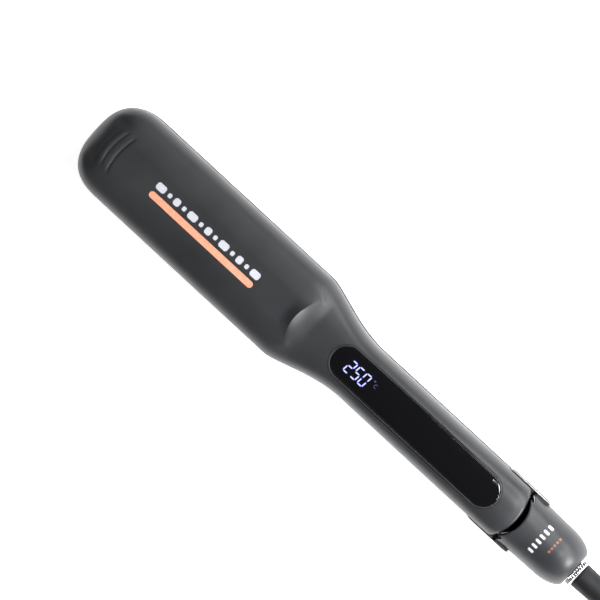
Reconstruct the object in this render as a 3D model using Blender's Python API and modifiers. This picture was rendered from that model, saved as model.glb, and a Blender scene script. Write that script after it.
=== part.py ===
"""Flat iron with two hinged arms, floating plates, a display handle and a swivelling cord guard.

Metres, +Z up, +X from the tip to the cord. The upper arm carries the display; the lower arm lies on z = 0.
Places along the iron are given as distances from the tip; at() turns them into world x.
"""

import math

import bmesh
import bpy
from mathutils import Matrix, Vector

# Overall layout
TIP_FRONT = 0.0002
TIP_TO_GUARD_END = 0.3636
GAP = 0.0003  # between touching pieces
EDGE_HEIGHT = 0.002  # arm edges stand this far from the middle plane
MERGE = 0.00001  # points nearer than this become one

# Arms
PADDLE_HALF_WIDTH = 0.0234
HANDLE_HALF_WIDTH = 0.0146
PADDLE_CREST = 0.019
FLAT_BELT = 0.0002  # the crest is flattened by this much
MID_HEIGHT = PADDLE_CREST - FLAT_BELT  # height of the plane where the plates meet
TIP_PLAN_LENGTH = 0.022
TIP_SIDE_LENGTH = 0.014
TIP_EXPONENT = 2.6
SHOULDER_START = 0.128
SHOULDER_LENGTH = 0.040
SCOOP_START = 0.1268
SCOOP_LENGTH = 0.006
SCOOP_DEPTH = 0.0019
SECTION_EXPONENT = 3.0
SHELL_WALL = 0.0018
COVER_FRONT = 0.1208
COVER_REAR = 0.250
COVER_THICKNESS = 0.0016

# Cover screws and their posts; heights are from the middle plane
SCREW_ALONG = 0.1385
SCREWS = {"left": 0.0085, "right": -0.0085}
SCREW_RADIUS = 0.0011
SCREW_LENGTH = 0.0098
SCREW_HEAD_RADIUS = 0.0024
SCREW_HEAD_HEIGHT = 0.0007
SCREW_HOLE_RADIUS = 0.0015
SEAT_RADIUS = 0.0028
SEAT_TOP = 0.0030
POST_RADIUS = 0.0030
POST_START = 0.0040
POST_HOLE_END = 0.0125

# Accent bar on the paddle
BAR_START = 0.0403
BAR_END = 0.1043
BAR_MIDDLE = -0.0035
BAR_HALF_WIDTH = 0.0016
BAR_THICKNESS = 0.0008
BAR_GROOVE_DEPTH = 0.0011

# Hinge
OPEN_ANGLE = 15  # degrees
HINGE_ALONG = 0.2596
ARM_REAR = 0.2656
ARM_REAR_RADIUS = 0.0246
TAIL_RIM = 0.2689
TAIL_RIM_RADIUS = 0.0156
SWEEP_CLEARANCE = 0.0004
PIN_RADIUS = 0.002
PIN_LENGTH = 0.0244
BUSH_RADIUS = 0.003
BUSH_MIDDLE = 0.0064
BUSH_HALF_LENGTH = 0.0014
LUG_RADIUS = 0.0044
UPPER_LUG = (0.0050, 0.0078)  # inner and outer side, from the middle of the iron
LOWER_LUG = (0.0082, 0.0110)
SPRING_TURNS = 5
SPRING_RADIUS = 0.0034
SPRING_WIRE_RADIUS = 0.0005
SPRING_WIDTH = 0.0078
CAP_LENGTH = 0.025
CAP_HEIGHT = 0.012
CAP_CORNER = 0.0030
CAP_RIM_WIDTH = 0.0009
CAP_INNER_Y = 0.0149
CAP_OUTER_Y = 0.0154
BOSS_RADIUS = 0.0046
BOSS_INNER_Y = 0.0125

# Tail, swivel and guard
TAIL_FRONT = 0.2575
TAIL_END = 0.300
TAIL_TAPER = 0.0010  # how much narrower and lower the tail gets before its rounded end
TAIL_ROUNDING = 0.0062
TAIL_HALF_WIDTH = 0.0144
TAIL_CREST = 0.0158
TAIL_WALL = 0.0015
TAIL_END_RADIUS = 0.0082
RING_RADIUS = 0.00725
RING_START = 0.3003
RING_END = 0.3027
KNURL_DEPTH = 0.0003
KNURL_COUNT = 28
STEM_START = 0.2940
STEM_RADIUS = 0.0046
FLANGE_RADIUS = 0.0068
FLANGE_THICKNESS = 0.0024
SLIP_RING_START = 0.2929
SLIP_RING_THICKNESS = 0.0008
CONTACT_PLATE_ALONG = 0.2835
CONTACT_PLATE_RADIUS = 0.0090
GUARD_START = 0.3030
GUARD_ROOT_RADIUS = 0.0063
GUARD_TIP_RADIUS = 0.0044
RIBS_START = 0.022  # behind the start of the guard
RIB_PITCH = 0.0045
RIB_COUNT = 8
RIB_GROOVE_DEPTH = 0.0011
RIB_GROOVE_WIDTH = 0.0013

# Plates and heaters; each layer lies between two distances from the middle plane
PLATE_START = 0.014
PLATE_END = 0.120
PLATE_HALF_WIDTH = 0.0203
PLATE_THICKNESS = 0.003
PLATE_CORNER = 0.005
PLATE_FACE = 0.00015
PLATE_TOP = PLATE_FACE + PLATE_THICKNESS
HEATER = (PLATE_TOP + GAP, 0.0060)
SENSOR = (PLATE_TOP + GAP, 0.0058)
CLIP = (0.0063, 0.0075)
CUSHION = (0.0078, 0.0102)
SHIELD = (0.0105, 0.0115)
HEATER_MARGIN = (0.008, 0.0130)  # shorter and narrower than the plate at each end and side
CLIP_MARGIN = (0.006, 0.0080)
SHIELD_MARGIN = (0.002, 0.0050)
CUSHIONS = {"front": 0.032, "rear": 0.102}
CUSHION_HALF_LENGTH = 0.006
CUSHION_HALF_WIDTH = 0.008

# Display
WINDOW_START = 0.1525
WINDOW_END = 0.2527
WINDOW_HALF_WIDTH = 0.0079
WINDOW_DEPTH = 0.0030
BEZEL_WIDTH = 0.0005

# Keys: distance from the tip and radius
KEYS = {"key_minus": (0.196, 0.0030), "key_plus": (0.210, 0.0030), "key_power": (0.228, 0.0036)}
KEY_HEIGHT = 0.0034
KEY_FACE = 0.0012
KEY_FLANGE = 0.0008
KEY_FLANGE_THICKNESS = 0.0007
KEY_CHAMFER = 0.0004

# Parts inside the handle: two corners of (distance from the tip, sideways, height from the middle plane)
DISPLAY_MODULE = ((0.156, -0.0065, 0.0100), (0.180, 0.0065, 0.0140))
CONTROL_BOARD = ((0.150, -0.0090, 0.0081), (0.236, 0.0090, 0.0097))
KEY_PAD = ((0.190, -0.0060, 0.0060), (0.234, 0.0060, 0.0076))
THERMAL_FUSE = ((0.150, -0.0075, -0.0100), (0.164, -0.0035, -0.0060))

# Cord, hank, tie and plug
CORD_RADIUS = 0.00325
CORD_DIAMETER = 2 * CORD_RADIUS
CORD_START = TIP_TO_GUARD_END + GAP
HANK_HALF_RUN = 0.042
HANK_LOOP_RADIUS = 0.026  # centre line of the outermost turn
HANK_PINCH = 0.0161
HANK_LAYERS = 4
HANK_MIDDLE = TIP_TO_GUARD_END + 0.136
HANK_SIDE = -0.0115  # the hank lies beside the iron's centre line, so that the lead enters it gently
HANK_OUTER = HANK_LOOP_RADIUS + CORD_RADIUS
HANK_HEIGHT = HANK_LAYERS * CORD_DIAMETER
LEAD_SIDE = 0.0200
LEAD_COVER = 0.0036  # half width of the shoulder round the lead
SHOULDER_BACK = 0.016
SHOULDER_RUN = 0.028
TIE_WIDTH = 0.012
TIE_THICKNESS = 0.0012
PLUG_START = 0.014  # behind the middle of the hank
PLUG_LENGTH = 0.038
PLUG_WIDTH = 0.0262
PLUG_HEIGHT = 0.0137
PLUG_PIN_SPACING = 0.0186
PLUG_PIN_LENGTH = 0.019
PLUG_PIN_RADIUS = 0.0020
PLUG_PIN_CHAMFER = 0.0010
# Distance from the front of the plug, half width and half height
PLUG_SECTIONS = (
    (0.000, 0.0050, 0.0046),
    (0.010, 0.0060, 0.0054),
    (0.016, 0.0100, 0.0064),
    (0.022, 0.0125, 0.0067),
    (0.034, PLUG_WIDTH / 2, PLUG_HEIGHT / 2),
    (PLUG_LENGTH, PLUG_WIDTH / 2 - 0.0006, PLUG_HEIGHT / 2 - 0.0006),
)

# Colour, roughness and metallic value of each material
MATERIALS = {
    "graphite_shell": ((0.045, 0.046, 0.050), 0.42, 0.0),
    "black_plastic": ((0.012, 0.012, 0.013), 0.5, 0.0),
    "gloss_window": ((0.004, 0.004, 0.005), 0.06, 0.0),
    "bezel": ((0.35, 0.36, 0.38), 0.3, 0.8),
    "chrome": ((0.80, 0.80, 0.82), 0.12, 1.0),
    "steel": ((0.55, 0.55, 0.56), 0.3, 1.0),
    "brass": ((0.75, 0.55, 0.25), 0.3, 1.0),
    "titanium_plate": ((0.33, 0.34, 0.37), 0.28, 0.9),
    "ceramic": ((0.80, 0.79, 0.75), 0.6, 0.0),
    "aluminium": ((0.62, 0.63, 0.64), 0.4, 1.0),
    "silicone": ((0.55, 0.12, 0.08), 0.6, 0.0),
    "mica": ((0.50, 0.44, 0.34), 0.6, 0.0),
    "salmon": ((0.85, 0.30, 0.18), 0.45, 0.0),
    "board_green": ((0.02, 0.13, 0.06), 0.5, 0.0),
    "rubber": ((0.010, 0.010, 0.011), 0.65, 0.0),
    "cord": ((0.012, 0.012, 0.013), 0.55, 0.0),
}


def make_collection(name):
    collection = bpy.data.collections.new(name)
    bpy.context.scene.collection.children.link(collection)
    return collection


def make_material(name):
    colour, roughness, metallic = MATERIALS[name]
    material = bpy.data.materials.new(name)
    material.use_nodes = True
    shader = material.node_tree.nodes["Principled BSDF"]
    shader.inputs["Base Color"].default_value = (*colour, 1.0)
    shader.inputs["Roughness"].default_value = roughness
    shader.inputs["Metallic"].default_value = metallic
    return material


def at(along):
    """World x of a place given as its distance from the tip."""
    return along - (TIP_FRONT + TIP_TO_GUARD_END) / 2


def smooth(value):
    value = min(max(value, 0.0), 1.0)
    return value * value * (3 - 2 * value)


def add_object(name, data, material, cutter=False):
    """Links a mesh or curve as a part, or as a cutter if no material is named."""
    obj = bpy.data.objects.new(name, data)
    if cutter:
        cutters.objects.link(obj)
        obj.hide_render = True
        obj.display_type = "WIRE"
    else:
        parts.objects.link(obj)
        data.materials.append(materials[material])
    return obj


def finish_mesh(name, bm, material, cutter=False, smooth_angle=35):
    bmesh.ops.recalc_face_normals(bm, faces=bm.faces)
    mesh = bpy.data.meshes.new(name)
    bm.to_mesh(mesh)
    bm.free()
    if not cutter:
        mesh.shade_smooth()
        mesh.set_sharp_from_angle(angle=math.radians(smooth_angle))
    return add_object(name, mesh, material, cutter)


def box(name, low, high, material=None, bevel=0.0):
    """A box between two world corners, with rounded edges if bevel is given."""
    size = Vector(high) - Vector(low)
    bm = bmesh.new()
    bmesh.ops.create_cube(bm, size=1.0, matrix=Matrix.Diagonal((*size, 1.0)))
    obj = finish_mesh(name, bm, material, cutter=material is None)
    obj.location = (Vector(high) + Vector(low)) / 2
    if bevel:
        round_edges(obj, bevel)
    return obj


def inner_box(name, corners, material, bevel=0.0):
    """A box inside the iron, from corners as listed at the top."""
    low, high = ((at(along), y, MID_HEIGHT + z) for along, y, z in corners)
    return box(name, low, high, material, bevel)


def round_edges(obj, width, segments=2):
    modifier = obj.modifiers.new("rounded_edges", "BEVEL")
    modifier.width = width
    modifier.segments = segments
    modifier.limit_method = "ANGLE"


def turn_to(axis):
    """Rotation that takes local +Z to a world axis."""
    return Vector((0, 0, 1)).rotation_difference(Vector(axis)).to_euler()


def cylinder(name, centre, radius, length, axis, material=None, vertices=32):
    bm = bmesh.new()
    bmesh.ops.create_cone(
        bm, cap_ends=True, segments=vertices, radius1=radius, radius2=radius, depth=length
    )
    obj = finish_mesh(name, bm, material, cutter=material is None)
    obj.location = centre
    obj.rotation_euler = turn_to(axis)
    return obj


def turned(name, profile, centre, axis, material=None, closed=False, steps=32):
    """A Screw of (radius, height) points that run down the outer side; closed for a ring with a hole."""
    bm = bmesh.new()
    points = [bm.verts.new((radius, 0, height)) for radius, height in profile]
    for first, second in zip(points, points[1:]):
        bm.edges.new((first, second))
    if closed:
        bm.edges.new((points[-1], points[0]))
    mesh = bpy.data.meshes.new(name)
    bm.to_mesh(mesh)
    bm.free()
    obj = add_object(name, mesh, material, cutter=material is None)
    obj.location = centre
    obj.rotation_euler = turn_to(axis)
    screw = obj.modifiers.new("turn", "SCREW")
    screw.steps = steps
    screw.render_steps = steps
    screw.use_merge_vertices = True
    screw.merge_threshold = MERGE
    screw.use_smooth_shade = True
    return obj


def tube(name, points, radius, material, resolution=2):
    """A round wire or cord along a list of world points."""
    curve = bpy.data.curves.new(name, "CURVE")
    curve.dimensions = "3D"
    curve.bevel_depth = radius
    curve.bevel_resolution = resolution
    curve.use_fill_caps = True
    spline = curve.splines.new("POLY")
    spline.points.add(len(points) - 1)
    for target, point in zip(spline.points, points):
        target.co = (*point, 1.0)
    return add_object(name, curve, material)


def flat_outline(name, outline, low, high, material=None):
    """A closed outline of (x, y) points, as a filled 2D curve made into a solid between two heights."""
    curve = bpy.data.curves.new(f"{name}_outline", "CURVE")
    curve.dimensions = "2D"
    curve.fill_mode = "BOTH"
    curve.extrude = (high - low) / 2
    spline = curve.splines.new("POLY")
    spline.points.add(len(outline) - 1)
    for target, (x, y) in zip(spline.points, outline):
        target.co = (x, y, 0.0, 1.0)
    spline.use_cyclic_u = True
    flat = bpy.data.objects.new(f"{name}_outline", curve)
    cutters.objects.link(flat)
    bpy.context.view_layer.update()
    mesh = bpy.data.meshes.new_from_object(flat.evaluated_get(bpy.context.evaluated_depsgraph_get()))
    bpy.data.objects.remove(flat, do_unlink=True)
    bm = bmesh.new()
    bm.from_mesh(mesh)
    bmesh.ops.remove_doubles(bm, verts=bm.verts, dist=MERGE)
    bmesh.ops.translate(bm, verts=bm.verts, vec=(0, 0, (high + low) / 2))
    return finish_mesh(name, bm, material, cutter=material is None)


def arc(centre, radius, start, end, count):
    """Points on an arc, with angles in degrees."""
    angles = [math.radians(start + (end - start) * i / (count - 1)) for i in range(count)]
    return [(centre[0] + radius * math.cos(a), centre[1] + radius * math.sin(a)) for a in angles]


def rounded_rectangle(low, high, radius, count=6):
    """Outline between two (x, y) corners with round corners."""
    left, near = low[0] + radius, low[1] + radius
    right, far = high[0] - radius, high[1] - radius
    corners = [(right, far, 0), (left, far, 90), (left, near, 180), (right, near, 270)]
    outline = []
    for x, y, start in corners:
        outline += arc((x, y), radius, start, start + 90, count)
    return outline


def stadium(start, end, half_width, count=16):
    right = arc((at(end) - half_width, 0), half_width, -90, 90, count)
    left = arc((at(start) + half_width, 0), half_width, 90, 270, count)
    return right + left


def combine(target, tool, operation="DIFFERENCE"):
    modifier = target.modifiers.new(operation.lower(), "BOOLEAN")
    modifier.operation = operation
    modifier.object = tool
    modifier.solver = "EXACT"


def attach(empty, *objects):
    """Parents parts to the empty on their joint's axis without moving them."""
    bpy.context.view_layer.update()
    for obj in objects:
        obj.parent = empty
        obj.matrix_parent_inverse = empty.matrix_world.inverted()


def pivot(name, location):
    empty = bpy.data.objects.new(name, None)
    parts.objects.link(empty)
    empty.location = location
    return empty


# Outer form of the arms and the tail


def half_width(along):
    """Half the plan width of an arm."""
    if along < TIP_PLAN_LENGTH:
        reach = 1 - along / TIP_PLAN_LENGTH
        return PADDLE_HALF_WIDTH * (1 - reach**TIP_EXPONENT) ** (1 / TIP_EXPONENT)
    eased = max((along - SHOULDER_START) / SHOULDER_LENGTH, 0.0) ** 0.75
    return PADDLE_HALF_WIDTH - (PADDLE_HALF_WIDTH - HANDLE_HALF_WIDTH) * smooth(eased)


def crest(along):
    """Height of an arm's outer crest from the middle plane."""
    height = PADDLE_CREST
    height -= SCOOP_DEPTH * smooth((along - SCOOP_START) / SCOOP_LENGTH)
    height += 0.0015 * smooth((along - 0.136) / 0.044)
    height -= 0.0028 * smooth((along - 0.212) / 0.052)
    if along < TIP_SIDE_LENGTH:
        reach = 1 - along / TIP_SIDE_LENGTH
        height = EDGE_HEIGHT + (height - EDGE_HEIGHT) * (1 - reach**2.2) ** (1 / 2.2)
    return height


def arch(width, base, height, exponent, count, limit=None):
    """(y, z) points of a superellipse arch from +y over the top to -y, flattened at the limit."""
    points = []
    for i in range(count):
        angle = math.pi * i / (count - 1)
        y = width * math.copysign(abs(math.cos(angle)) ** (2 / exponent), math.cos(angle))
        z = base + (height - base) * abs(math.sin(angle)) ** (2 / exponent)
        points.append((y, min(z, limit) if limit else z))
    return points


def spread(*stretches):
    """Stations along the arm from (start, end, count) stretches."""
    stations = []
    for start, end, count in stretches:
        stations += [start + (end - start) * i / count for i in range(count)]
    return stations + [stretches[-1][1]]


def loft(name, rings, material=None):
    """Joins rings of equally many points into one closed solid."""
    bm = bmesh.new()
    loops = [[bm.verts.new(point) for point in ring] for ring in rings]
    for first, second in zip(loops, loops[1:]):
        for i in range(len(first)):
            j = (i + 1) % len(first)
            bm.faces.new((first[i], first[j], second[j], second[i]))
    bm.faces.new(loops[0])
    bm.faces.new(loops[-1])
    return finish_mesh(name, bm, material, cutter=material is None)


TIP_STATIONS = ((TIP_FRONT, 0.002, 3), (0.002, 0.010, 4), (0.010, 0.022, 4))
ARM_STATIONS = ((0.022, 0.1268, 2), (0.1268, 0.1332, 4), (0.1332, 0.168, 8), (0.168, 0.272, 6))


def arm_body(name, side, material=None, inset=0.0, points=16):
    """The closed outer form of an arm, or its form moved in by inset and open past its edge."""
    rings = []
    drop = 0.004 if inset else 0.0
    for along in spread(*TIP_STATIONS, *ARM_STATIONS):
        place = along + (inset if along < TIP_PLAN_LENGTH else 0.0)
        if inset and along > ARM_STATIONS[-1][0]:
            place = along + inset
        width = half_width(along) - inset * min(1.0, half_width(along) / 0.010)
        height = max(crest(along) - inset, EDGE_HEIGHT + 0.0004)
        limit = PADDLE_CREST - FLAT_BELT - inset
        section = arch(max(width, 0.0005), EDGE_HEIGHT, height, SECTION_EXPONENT, points, limit)
        if inset:
            section = [(section[0][0], EDGE_HEIGHT - drop), *section, (section[-1][0], EDGE_HEIGHT - drop)]
        rings.append([(at(place), y, MID_HEIGHT + side * z) for y, z in section])
    return loft(name, rings, material)


def rear_trim(name, radius, rear):
    """Everything behind an arm's rounded rear edge."""
    centre = at(rear) - radius
    reach = 70
    edge = arc((centre, 0), radius, -reach, reach, 25)
    back = at(rear) + 0.02
    side = 0.03
    outline = [*edge, (edge[-1][0], side), (back, side), (back, -side), (edge[0][0], -side)]
    return flat_outline(name, outline, MID_HEIGHT - 0.03, MID_HEIGHT + 0.03)


def hinge_point(y=0.0):
    return (at(HINGE_ALONG), y, MID_HEIGHT)


def sweep_form():
    """The space that the upper arm's rear edge passes through while the arm opens, plus clearance."""
    rings = []
    count = 24
    swing = math.radians(OPEN_ANGLE)
    front = -0.02
    above = PADDLE_CREST + 0.01
    for i in range(count + 1):
        y = -HANDLE_HALF_WIDTH * math.cos(math.pi * i / count)
        share = max(1 - abs(y / HANDLE_HALF_WIDTH) ** SECTION_EXPONENT, 0.0) ** (1 / SECTION_EXPONENT)
        up = EDGE_HEIGHT + (crest(ARM_REAR) - EDGE_HEIGHT) * share
        back = ARM_REAR - ARM_REAR_RADIUS + math.sqrt(ARM_REAR_RADIUS**2 - y * y) - HINGE_ALONG
        reach = math.hypot(up, back) + SWEEP_CLEARANCE
        turned_up = EDGE_HEIGHT * math.cos(swing) - back * math.sin(swing) - SWEEP_CLEARANCE
        turned_back = back * math.cos(swing) + EDGE_HEIGHT * math.sin(swing) + SWEEP_CLEARANCE
        rest = math.degrees(math.atan2(up, back))
        outline = [(front, turned_up), (front, above), (back + SWEEP_CLEARANCE, above)]
        outline += arc((0.0, 0.0), reach, rest, rest - OPEN_ANGLE, 6)
        outline.append((turned_back, turned_up))
        side = y * (1 + SWEEP_CLEARANCE / HANDLE_HALF_WIDTH)
        rings.append([(at(HINGE_ALONG) + x, side, MID_HEIGHT + z) for x, z in outline])
    return loft("sweep_cutter", rings)


# Arms


def upright(name, y, low, high, radius, side, material=None, vertices=16):
    """A round post or bore at a cover screw, between two distances from the middle plane."""
    centre = (at(SCREW_ALONG), y, MID_HEIGHT + side * (low + high) / 2)
    return cylinder(name, centre, radius, high - low, (0, 0, 1), material, vertices)


def screw_posts(shell, side, name):
    """Two posts inside the shell that the cover screws bite into."""
    for place, y in SCREWS.items():
        top = crest(SCREW_ALONG) - SHELL_WALL / 2
        post = upright(f"{name}_{place}_post", y, POST_START, top, POST_RADIUS, side)
        combine(shell, post, "UNION")
        bore = upright(f"{name}_{place}_bore", y, SEAT_TOP, POST_HOLE_END, SCREW_HOLE_RADIUS, side)
        combine(shell, bore)


def arm_shell(name, side, rear_radius, rear):
    shell = arm_body(name, side, "graphite_shell")
    combine(shell, arm_body(f"{name}_hollow", side, inset=SHELL_WALL, points=11))
    screw_posts(shell, side, name)
    combine(shell, rear_trim(f"{name}_rear_cutter", rear_radius, rear))
    combine(shell, boss_clearance)
    return shell


def tip_liner(name, side):
    """The inner floor between the tip of the shell and the front of the plate."""
    liner = arm_body(name, side, "black_plastic", inset=SHELL_WALL + GAP, points=11)
    low, high = sorted((side * EDGE_HEIGHT, side * (EDGE_HEIGHT + COVER_THICKNESS)))
    corner = (at(PLATE_START) - 0.0005, 0.03, MID_HEIGHT + high)
    slab = box(f"{name}_slab", (at(0) - 0.001, -0.03, MID_HEIGHT + low), corner)
    combine(liner, slab, "INTERSECT")
    return liner


def inner_cover(name, side, lug, bore):
    """The handle's inner floor with the two hinge lugs at its rear; lug gives their inner and outer side."""
    cover = arm_body(name, side, "black_plastic", inset=SHELL_WALL + GAP, points=11)
    low, high = sorted((side * EDGE_HEIGHT, side * (EDGE_HEIGHT + COVER_THICKNESS)))
    start = (at(COVER_FRONT), -0.03, MID_HEIGHT + low)
    slab = box(f"{name}_slab", start, (at(COVER_REAR), 0.03, MID_HEIGHT + high))
    combine(cover, slab, "INTERSECT")
    for hand in (-1, 1):
        near, far = sorted((hand * lug[0], hand * lug[1]))
        middle = (near + far) / 2
        eye_name = f"{name}_eye_{'left' if hand > 0 else 'right'}"
        eye = cylinder(eye_name, hinge_point(middle), LUG_RADIUS, far - near, (0, 1, 0), vertices=24)
        combine(cover, eye, "UNION")
        low, high = sorted((side * 0.0002, side * (LUG_RADIUS - 0.0002)))
        start = (at(COVER_REAR) - 0.006, near + 0.00005, MID_HEIGHT + low)
        end = (at(HINGE_ALONG), far - 0.00005, MID_HEIGHT + high)
        combine(cover, box(f"{eye_name}_arm", start, end), "UNION")
    hole = cylinder(f"{name}_pin_bore", hinge_point(), bore, 0.03, (0, 1, 0), vertices=24)
    combine(cover, hole)
    for place, y in SCREWS.items():
        combine(cover, upright(f"{name}_{place}_seat", y, 0.0, SEAT_TOP, SEAT_RADIUS, side))
        combine(cover, upright(f"{name}_{place}_hole", y, 0.0, 2 * SEAT_TOP, SCREW_HOLE_RADIUS, side))
    return cover


def cover_screw(name, side, y):
    """Pan head screw with its head flush in the cover."""
    profile = [(0.0, SCREW_LENGTH), (SCREW_RADIUS, SCREW_LENGTH - 0.0008), (SCREW_RADIUS, SCREW_HEAD_HEIGHT)]
    profile += [(SCREW_HEAD_RADIUS, SCREW_HEAD_HEIGHT), (SCREW_HEAD_RADIUS, 0.0), (0.0, 0.0)]
    base = (at(SCREW_ALONG), y, MID_HEIGHT + side * (EDGE_HEIGHT + 0.0001))
    return turned(name, profile, base, (0, 0, side), "steel", steps=16)


def layer(name, side, span, margin, radius, material):
    """A flat plate-shaped layer of the heating stack; span holds its distances from the middle plane."""
    start = (at(PLATE_START) + margin[0], -PLATE_HALF_WIDTH + margin[1])
    end = (at(PLATE_END) - margin[0], PLATE_HALF_WIDTH - margin[1])
    bottom, top = sorted((side * span[0], side * span[1]))
    outline = rounded_rectangle(start, end, radius)
    return flat_outline(name, outline, MID_HEIGHT + bottom, MID_HEIGHT + top, material)


def heating_stack(arm, side):
    """The floating plate with its heater, and the fixed cushions and heat shield behind it."""
    plate = layer(f"{arm}_plate", side, (PLATE_FACE, PLATE_TOP), (0, 0), PLATE_CORNER, "titanium_plate")
    round_edges(plate, 0.0007)
    heater = layer(f"{arm}_heater", side, HEATER, HEATER_MARGIN, 0.0006, "ceramic")
    clip = layer(f"{arm}_heater_clip", side, CLIP, CLIP_MARGIN, 0.0006, "aluminium")
    round_edges(clip, 0.0003, 1)
    shield = layer(f"{arm}_heat_shield", side, SHIELD, SHIELD_MARGIN, 0.003, "mica")
    cushions = []
    for place, along in CUSHIONS.items():
        low, high = sorted((side * CUSHION[0], side * CUSHION[1]))
        start = (along - CUSHION_HALF_LENGTH, -CUSHION_HALF_WIDTH, low)
        end = (along + CUSHION_HALF_LENGTH, CUSHION_HALF_WIDTH, high)
        cushions.append(inner_box(f"{arm}_cushion_{place}", (start, end), "silicone", bevel=0.0005))
    low, high = sorted((side * SENSOR[0], side * SENSOR[1]))
    corners = ((0.060, 0.0085, low), (0.066, 0.0115, high))
    sensor = inner_box(f"{arm}_thermistor", corners, "ceramic", bevel=0.0005)
    return [plate, heater, clip, sensor], [shield, *cushions]


# Display and controls


def set_into_crest(name, start, end, width, depth, material, hole=None):
    """A stadium piece whose top is the crest's own surface; hole is the half width of its opening."""
    piece = arm_body(name, 1, material, points=25)
    height = MID_HEIGHT + crest(0.190) - depth
    tool = flat_outline(f"{name}_outline", stadium(start, end, width), height, MID_HEIGHT + 0.03)
    combine(piece, tool, "INTERSECT")
    if hole:
        shift = width - hole
        outline = stadium(start + shift, end - shift, hole)
        combine(piece, flat_outline(f"{name}_hole", outline, MID_HEIGHT, MID_HEIGHT + 0.03))
    return piece


def display_pieces(shell):
    rim = BEZEL_WIDTH + GAP
    opening = stadium(WINDOW_START - rim - GAP, WINDOW_END + rim + GAP, WINDOW_HALF_WIDTH + rim + GAP)
    pocket = flat_outline("window_pocket", opening, MID_HEIGHT + 0.0125, MID_HEIGHT + 0.03)
    combine(shell, pocket)
    window = set_into_crest(
        "display_window", WINDOW_START, WINDOW_END, WINDOW_HALF_WIDTH, WINDOW_DEPTH, "gloss_window"
    )
    bezel = set_into_crest(
        "display_bezel",
        WINDOW_START - rim,
        WINDOW_END + rim,
        WINDOW_HALF_WIDTH + rim,
        WINDOW_DEPTH,
        "bezel",
        hole=WINDOW_HALF_WIDTH + GAP,
    )
    module = inner_box("display_module", DISPLAY_MODULE, "black_plastic", bevel=0.0004)
    board = inner_box("control_board", CONTROL_BOARD, "board_green")
    return [window, bezel, module, board]


def accent_bar(shell):
    """The slim rounded bar let into the paddle beside its centre line."""
    top = MID_HEIGHT + PADDLE_CREST

    def outline(spare):
        """The bar's outline, grown on all sides."""
        half = BAR_HALF_WIDTH + spare
        low = (at(BAR_START) - spare, BAR_MIDDLE - half)
        high = (at(BAR_END) + spare, BAR_MIDDLE + half)
        return rounded_rectangle(low, high, half - 0.0001)

    bar = flat_outline("accent_bar", outline(0.0), top - BAR_THICKNESS, top - FLAT_BELT / 2, "salmon")
    combine(shell, flat_outline("accent_groove", outline(GAP), top - BAR_GROOVE_DEPTH, top + 0.01))
    return bar


def control_key(name, cover):
    """A round key with a retaining flange, in a hole of the upper inner cover."""
    along, radius = KEYS[name]
    flange = radius + KEY_FLANGE
    under = KEY_HEIGHT - KEY_FLANGE_THICKNESS
    profile = [(0.0, KEY_HEIGHT), (flange, KEY_HEIGHT), (flange, under), (radius, under)]
    profile += [(radius, KEY_CHAMFER), (radius - KEY_CHAMFER, 0.0), (0.0, 0.0)]
    key = turned(name, profile, (at(along), 0, MID_HEIGHT + KEY_FACE), (0, 0, 1), "black_plastic", steps=20)
    middle = (at(along), 0, MID_HEIGHT + EDGE_HEIGHT)
    combine(cover, cylinder(f"{name}_hole", middle, radius + GAP, 0.006, (0, 0, 1), vertices=24))
    return key


# Hinge


def hinge_spring():
    """Torsion spring round the pin, with one leg under each arm's cover."""
    steps = 10
    count = SPRING_TURNS * steps + steps // 2
    coil = []
    for i in range(count + 1):
        angle = math.pi / 2 + 2 * math.pi * i / steps
        y = -SPRING_WIDTH / 2 + SPRING_WIDTH * i / count
        coil.append((SPRING_RADIUS * math.cos(angle), y, SPRING_RADIUS * math.sin(angle)))
    leg = 0.0013
    bent = 0.0030
    front = [(x, coil[0][1], z) for x, z in ((-0.016, leg), (-0.0095, leg), (-0.0035, bent))]
    rear = [(x, coil[-1][1], -z) for x, z in ((-0.0035, bent), (-0.0095, leg), (-0.016, leg))]
    points = [(at(HINGE_ALONG) + x, y, MID_HEIGHT + z) for x, y, z in front + coil + rear]
    return tube("hinge_spring", points, SPRING_WIRE_RADIUS, "steel")


def side_plate(name, side, margin, low, high, material=None):
    """A rounded plate on the hinge's side, between two distances from the middle of the iron."""
    corner = (CAP_LENGTH / 2 - margin, CAP_HEIGHT / 2 - margin)
    outline = rounded_rectangle((-corner[0], -corner[1]), corner, CAP_CORNER - margin)
    plate = flat_outline(name, outline, low, high, material)
    plate.location = hinge_point()
    plate.rotation_euler = turn_to((0, side, 0))
    return plate


def hinge_cap(side):
    """Thin side plate on a boss, with a bright rim round it."""
    name = "left" if side > 0 else "right"
    margin = CAP_RIM_WIDTH + GAP
    cap = side_plate(f"hinge_cap_{name}", side, margin, CAP_INNER_Y, CAP_OUTER_Y, "black_plastic")
    far = (CAP_INNER_Y + CAP_OUTER_Y) / 2
    middle = hinge_point(side * (BOSS_INNER_Y + far) / 2)
    boss = cylinder(f"hinge_boss_{name}", middle, BOSS_RADIUS, far - BOSS_INNER_Y, (0, 1, 0))
    combine(cap, boss, "UNION")
    rim = side_plate(f"hinge_rim_{name}", side, 0.0, CAP_INNER_Y, CAP_OUTER_Y, "chrome")
    low, high = CAP_INNER_Y - 0.001, CAP_OUTER_Y + 0.001
    combine(rim, side_plate(f"hinge_rim_{name}_space", side, CAP_RIM_WIDTH, low, high))
    return [cap, rim]


def hinge_bush(name, side):
    half = BUSH_HALF_LENGTH
    bore = PIN_RADIUS + 0.0001
    profile = [(bore, half), (BUSH_RADIUS, half), (BUSH_RADIUS, -half), (bore, -half)]
    return turned(name, profile, hinge_point(side * BUSH_MIDDLE), (0, 1, 0), "brass", closed=True, steps=24)


# Tail, swivel and guard


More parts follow.
